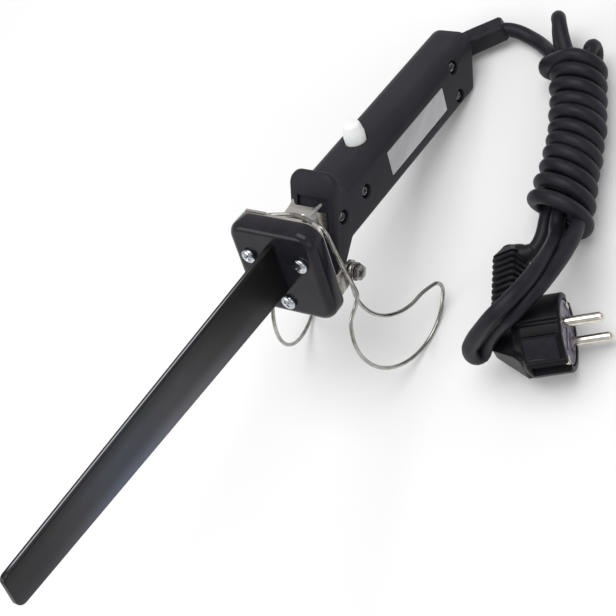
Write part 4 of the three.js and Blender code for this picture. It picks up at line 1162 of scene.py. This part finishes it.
reliefSettings = Settings(
    width=13.8, core=9.8, ribs=8, ribShare=0.62, ribEdge=0.16, step=0.24,
    sides=48, corner=1.3, cap=5, capStart=0.5, mouth=4.6,
    collar=(9, 4.1, 5.3), collarBlunt=0.4, collarRise=1.6)


def reliefRibs():
    r = reliefSettings
    length, early = reliefAim.length, r.capStart
    spacing = length / r.ribs
    count = round((length + r.cap) / r.step)
    loops = []
    for i in range(count + 1):
        x = (length + r.cap) * i / count
        rib = bump((x / spacing) % 1, 0, r.ribShare, r.ribEdge) if x < length - early else 1
        half = (r.core + (r.width - r.core) * (rib if i else 0)) / 2
        cap = min(1, max(0, (x - length + early) / (r.cap + early)))
        loop = []
        for k in range(r.sides):
            a = 2 * pi * k / r.sides
            square = min(half / max(abs(cos(a)), abs(sin(a))), half * r.corner)
            reach = square + (r.mouth - square) * cap
            loop.append((x, reach * cos(a), reach * sin(a)))
        loops.append(loop)
    return loftShape(loops)


def reliefCollar():  # a short sleeve along the lead's last bend
    r = reliefSettings
    count, thin, thick = r.collar
    bend = [reliefSpace.inverted() @ leadSpace @ q for q in cordPath[-count:]]

    def section(i, share):
        blunt = r.collarBlunt if i == 0 else 0
        return ring(thin - blunt + (thick - thin) * ease(share * r.collarRise), 32)

    return sweepShape(evenLine(bend, 0.5), section)


def makeRelief():
    mesh = meshOf(joinShapes(reliefRibs(), reliefCollar()), reliefSpace, 45)
    return setPiece("strainRelief", mesh, reliefFinish, "plug_strain_relief", slot="plug_black")


plugPieces = makePlug() + [makeRelief()]
print("plug done")

worldPath = [tuple(leadSpace @ p) for p in cordPath]
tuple(worldPath[0])


# floor and light

stageSettings = Settings(
    size=6000, deep=(-20, -0.02), dark=(0.89, 0.89, 0.89), light=(0.9, 0.9, 0.9),
    patch=120, rough=0.75, shine=0.2, world=0.5,
    lights=[("key", (-0.25, 0.05, 1.4), (1.2, 1), 12.6, (0.02, 0.05, 0.02)),
        ("left", (0.9, -0.75, 0.8), (0.8, 0.6), 4, (0, 0, 0.05)),
        ("right", (0.6, 0.9, 0.8), (0.9, 0.6), 1.6, (0, 0.02, 0.05))])


def makeStage():
    q, far = stageSettings, stageSettings.size
    floor = linked("floor", meshOf(boxShape(-far, far, -far, far, *q.deep), shrink))
    pale = Finish("paleFloor", rough=q.rough, shine=q.shine)
    pale.feed(colour=pale.shades(pale.noise(q.patch, 2), q.dark, q.light))
    floor.data.materials.append(pale.material)
    world = bpy.data.worlds.new("studio")
    world.use_nodes = True
    sky = world.node_tree.nodes["Background"]
    sky.inputs["Color"].default_value = (1, 1, 1, 1)
    sky.inputs["Strength"].default_value = q.world
    bpy.context.scene.world = world
    for name, place, size, power, aim in q.lights:
        data = bpy.data.lights.new(name, "AREA")
        data.shape, data.size, data.size_y, data.energy = "RECTANGLE", size[0], size[1], power
        lamp = linked(name, data)
        lamp.location = place
        lamp.rotation_euler = (Vector(aim) - Vector(place)).to_track_quat("-Z", "Y").to_euler()
    bpy.context.scene.view_settings.view_transform = "Standard"


makeStage()
print("stage done")
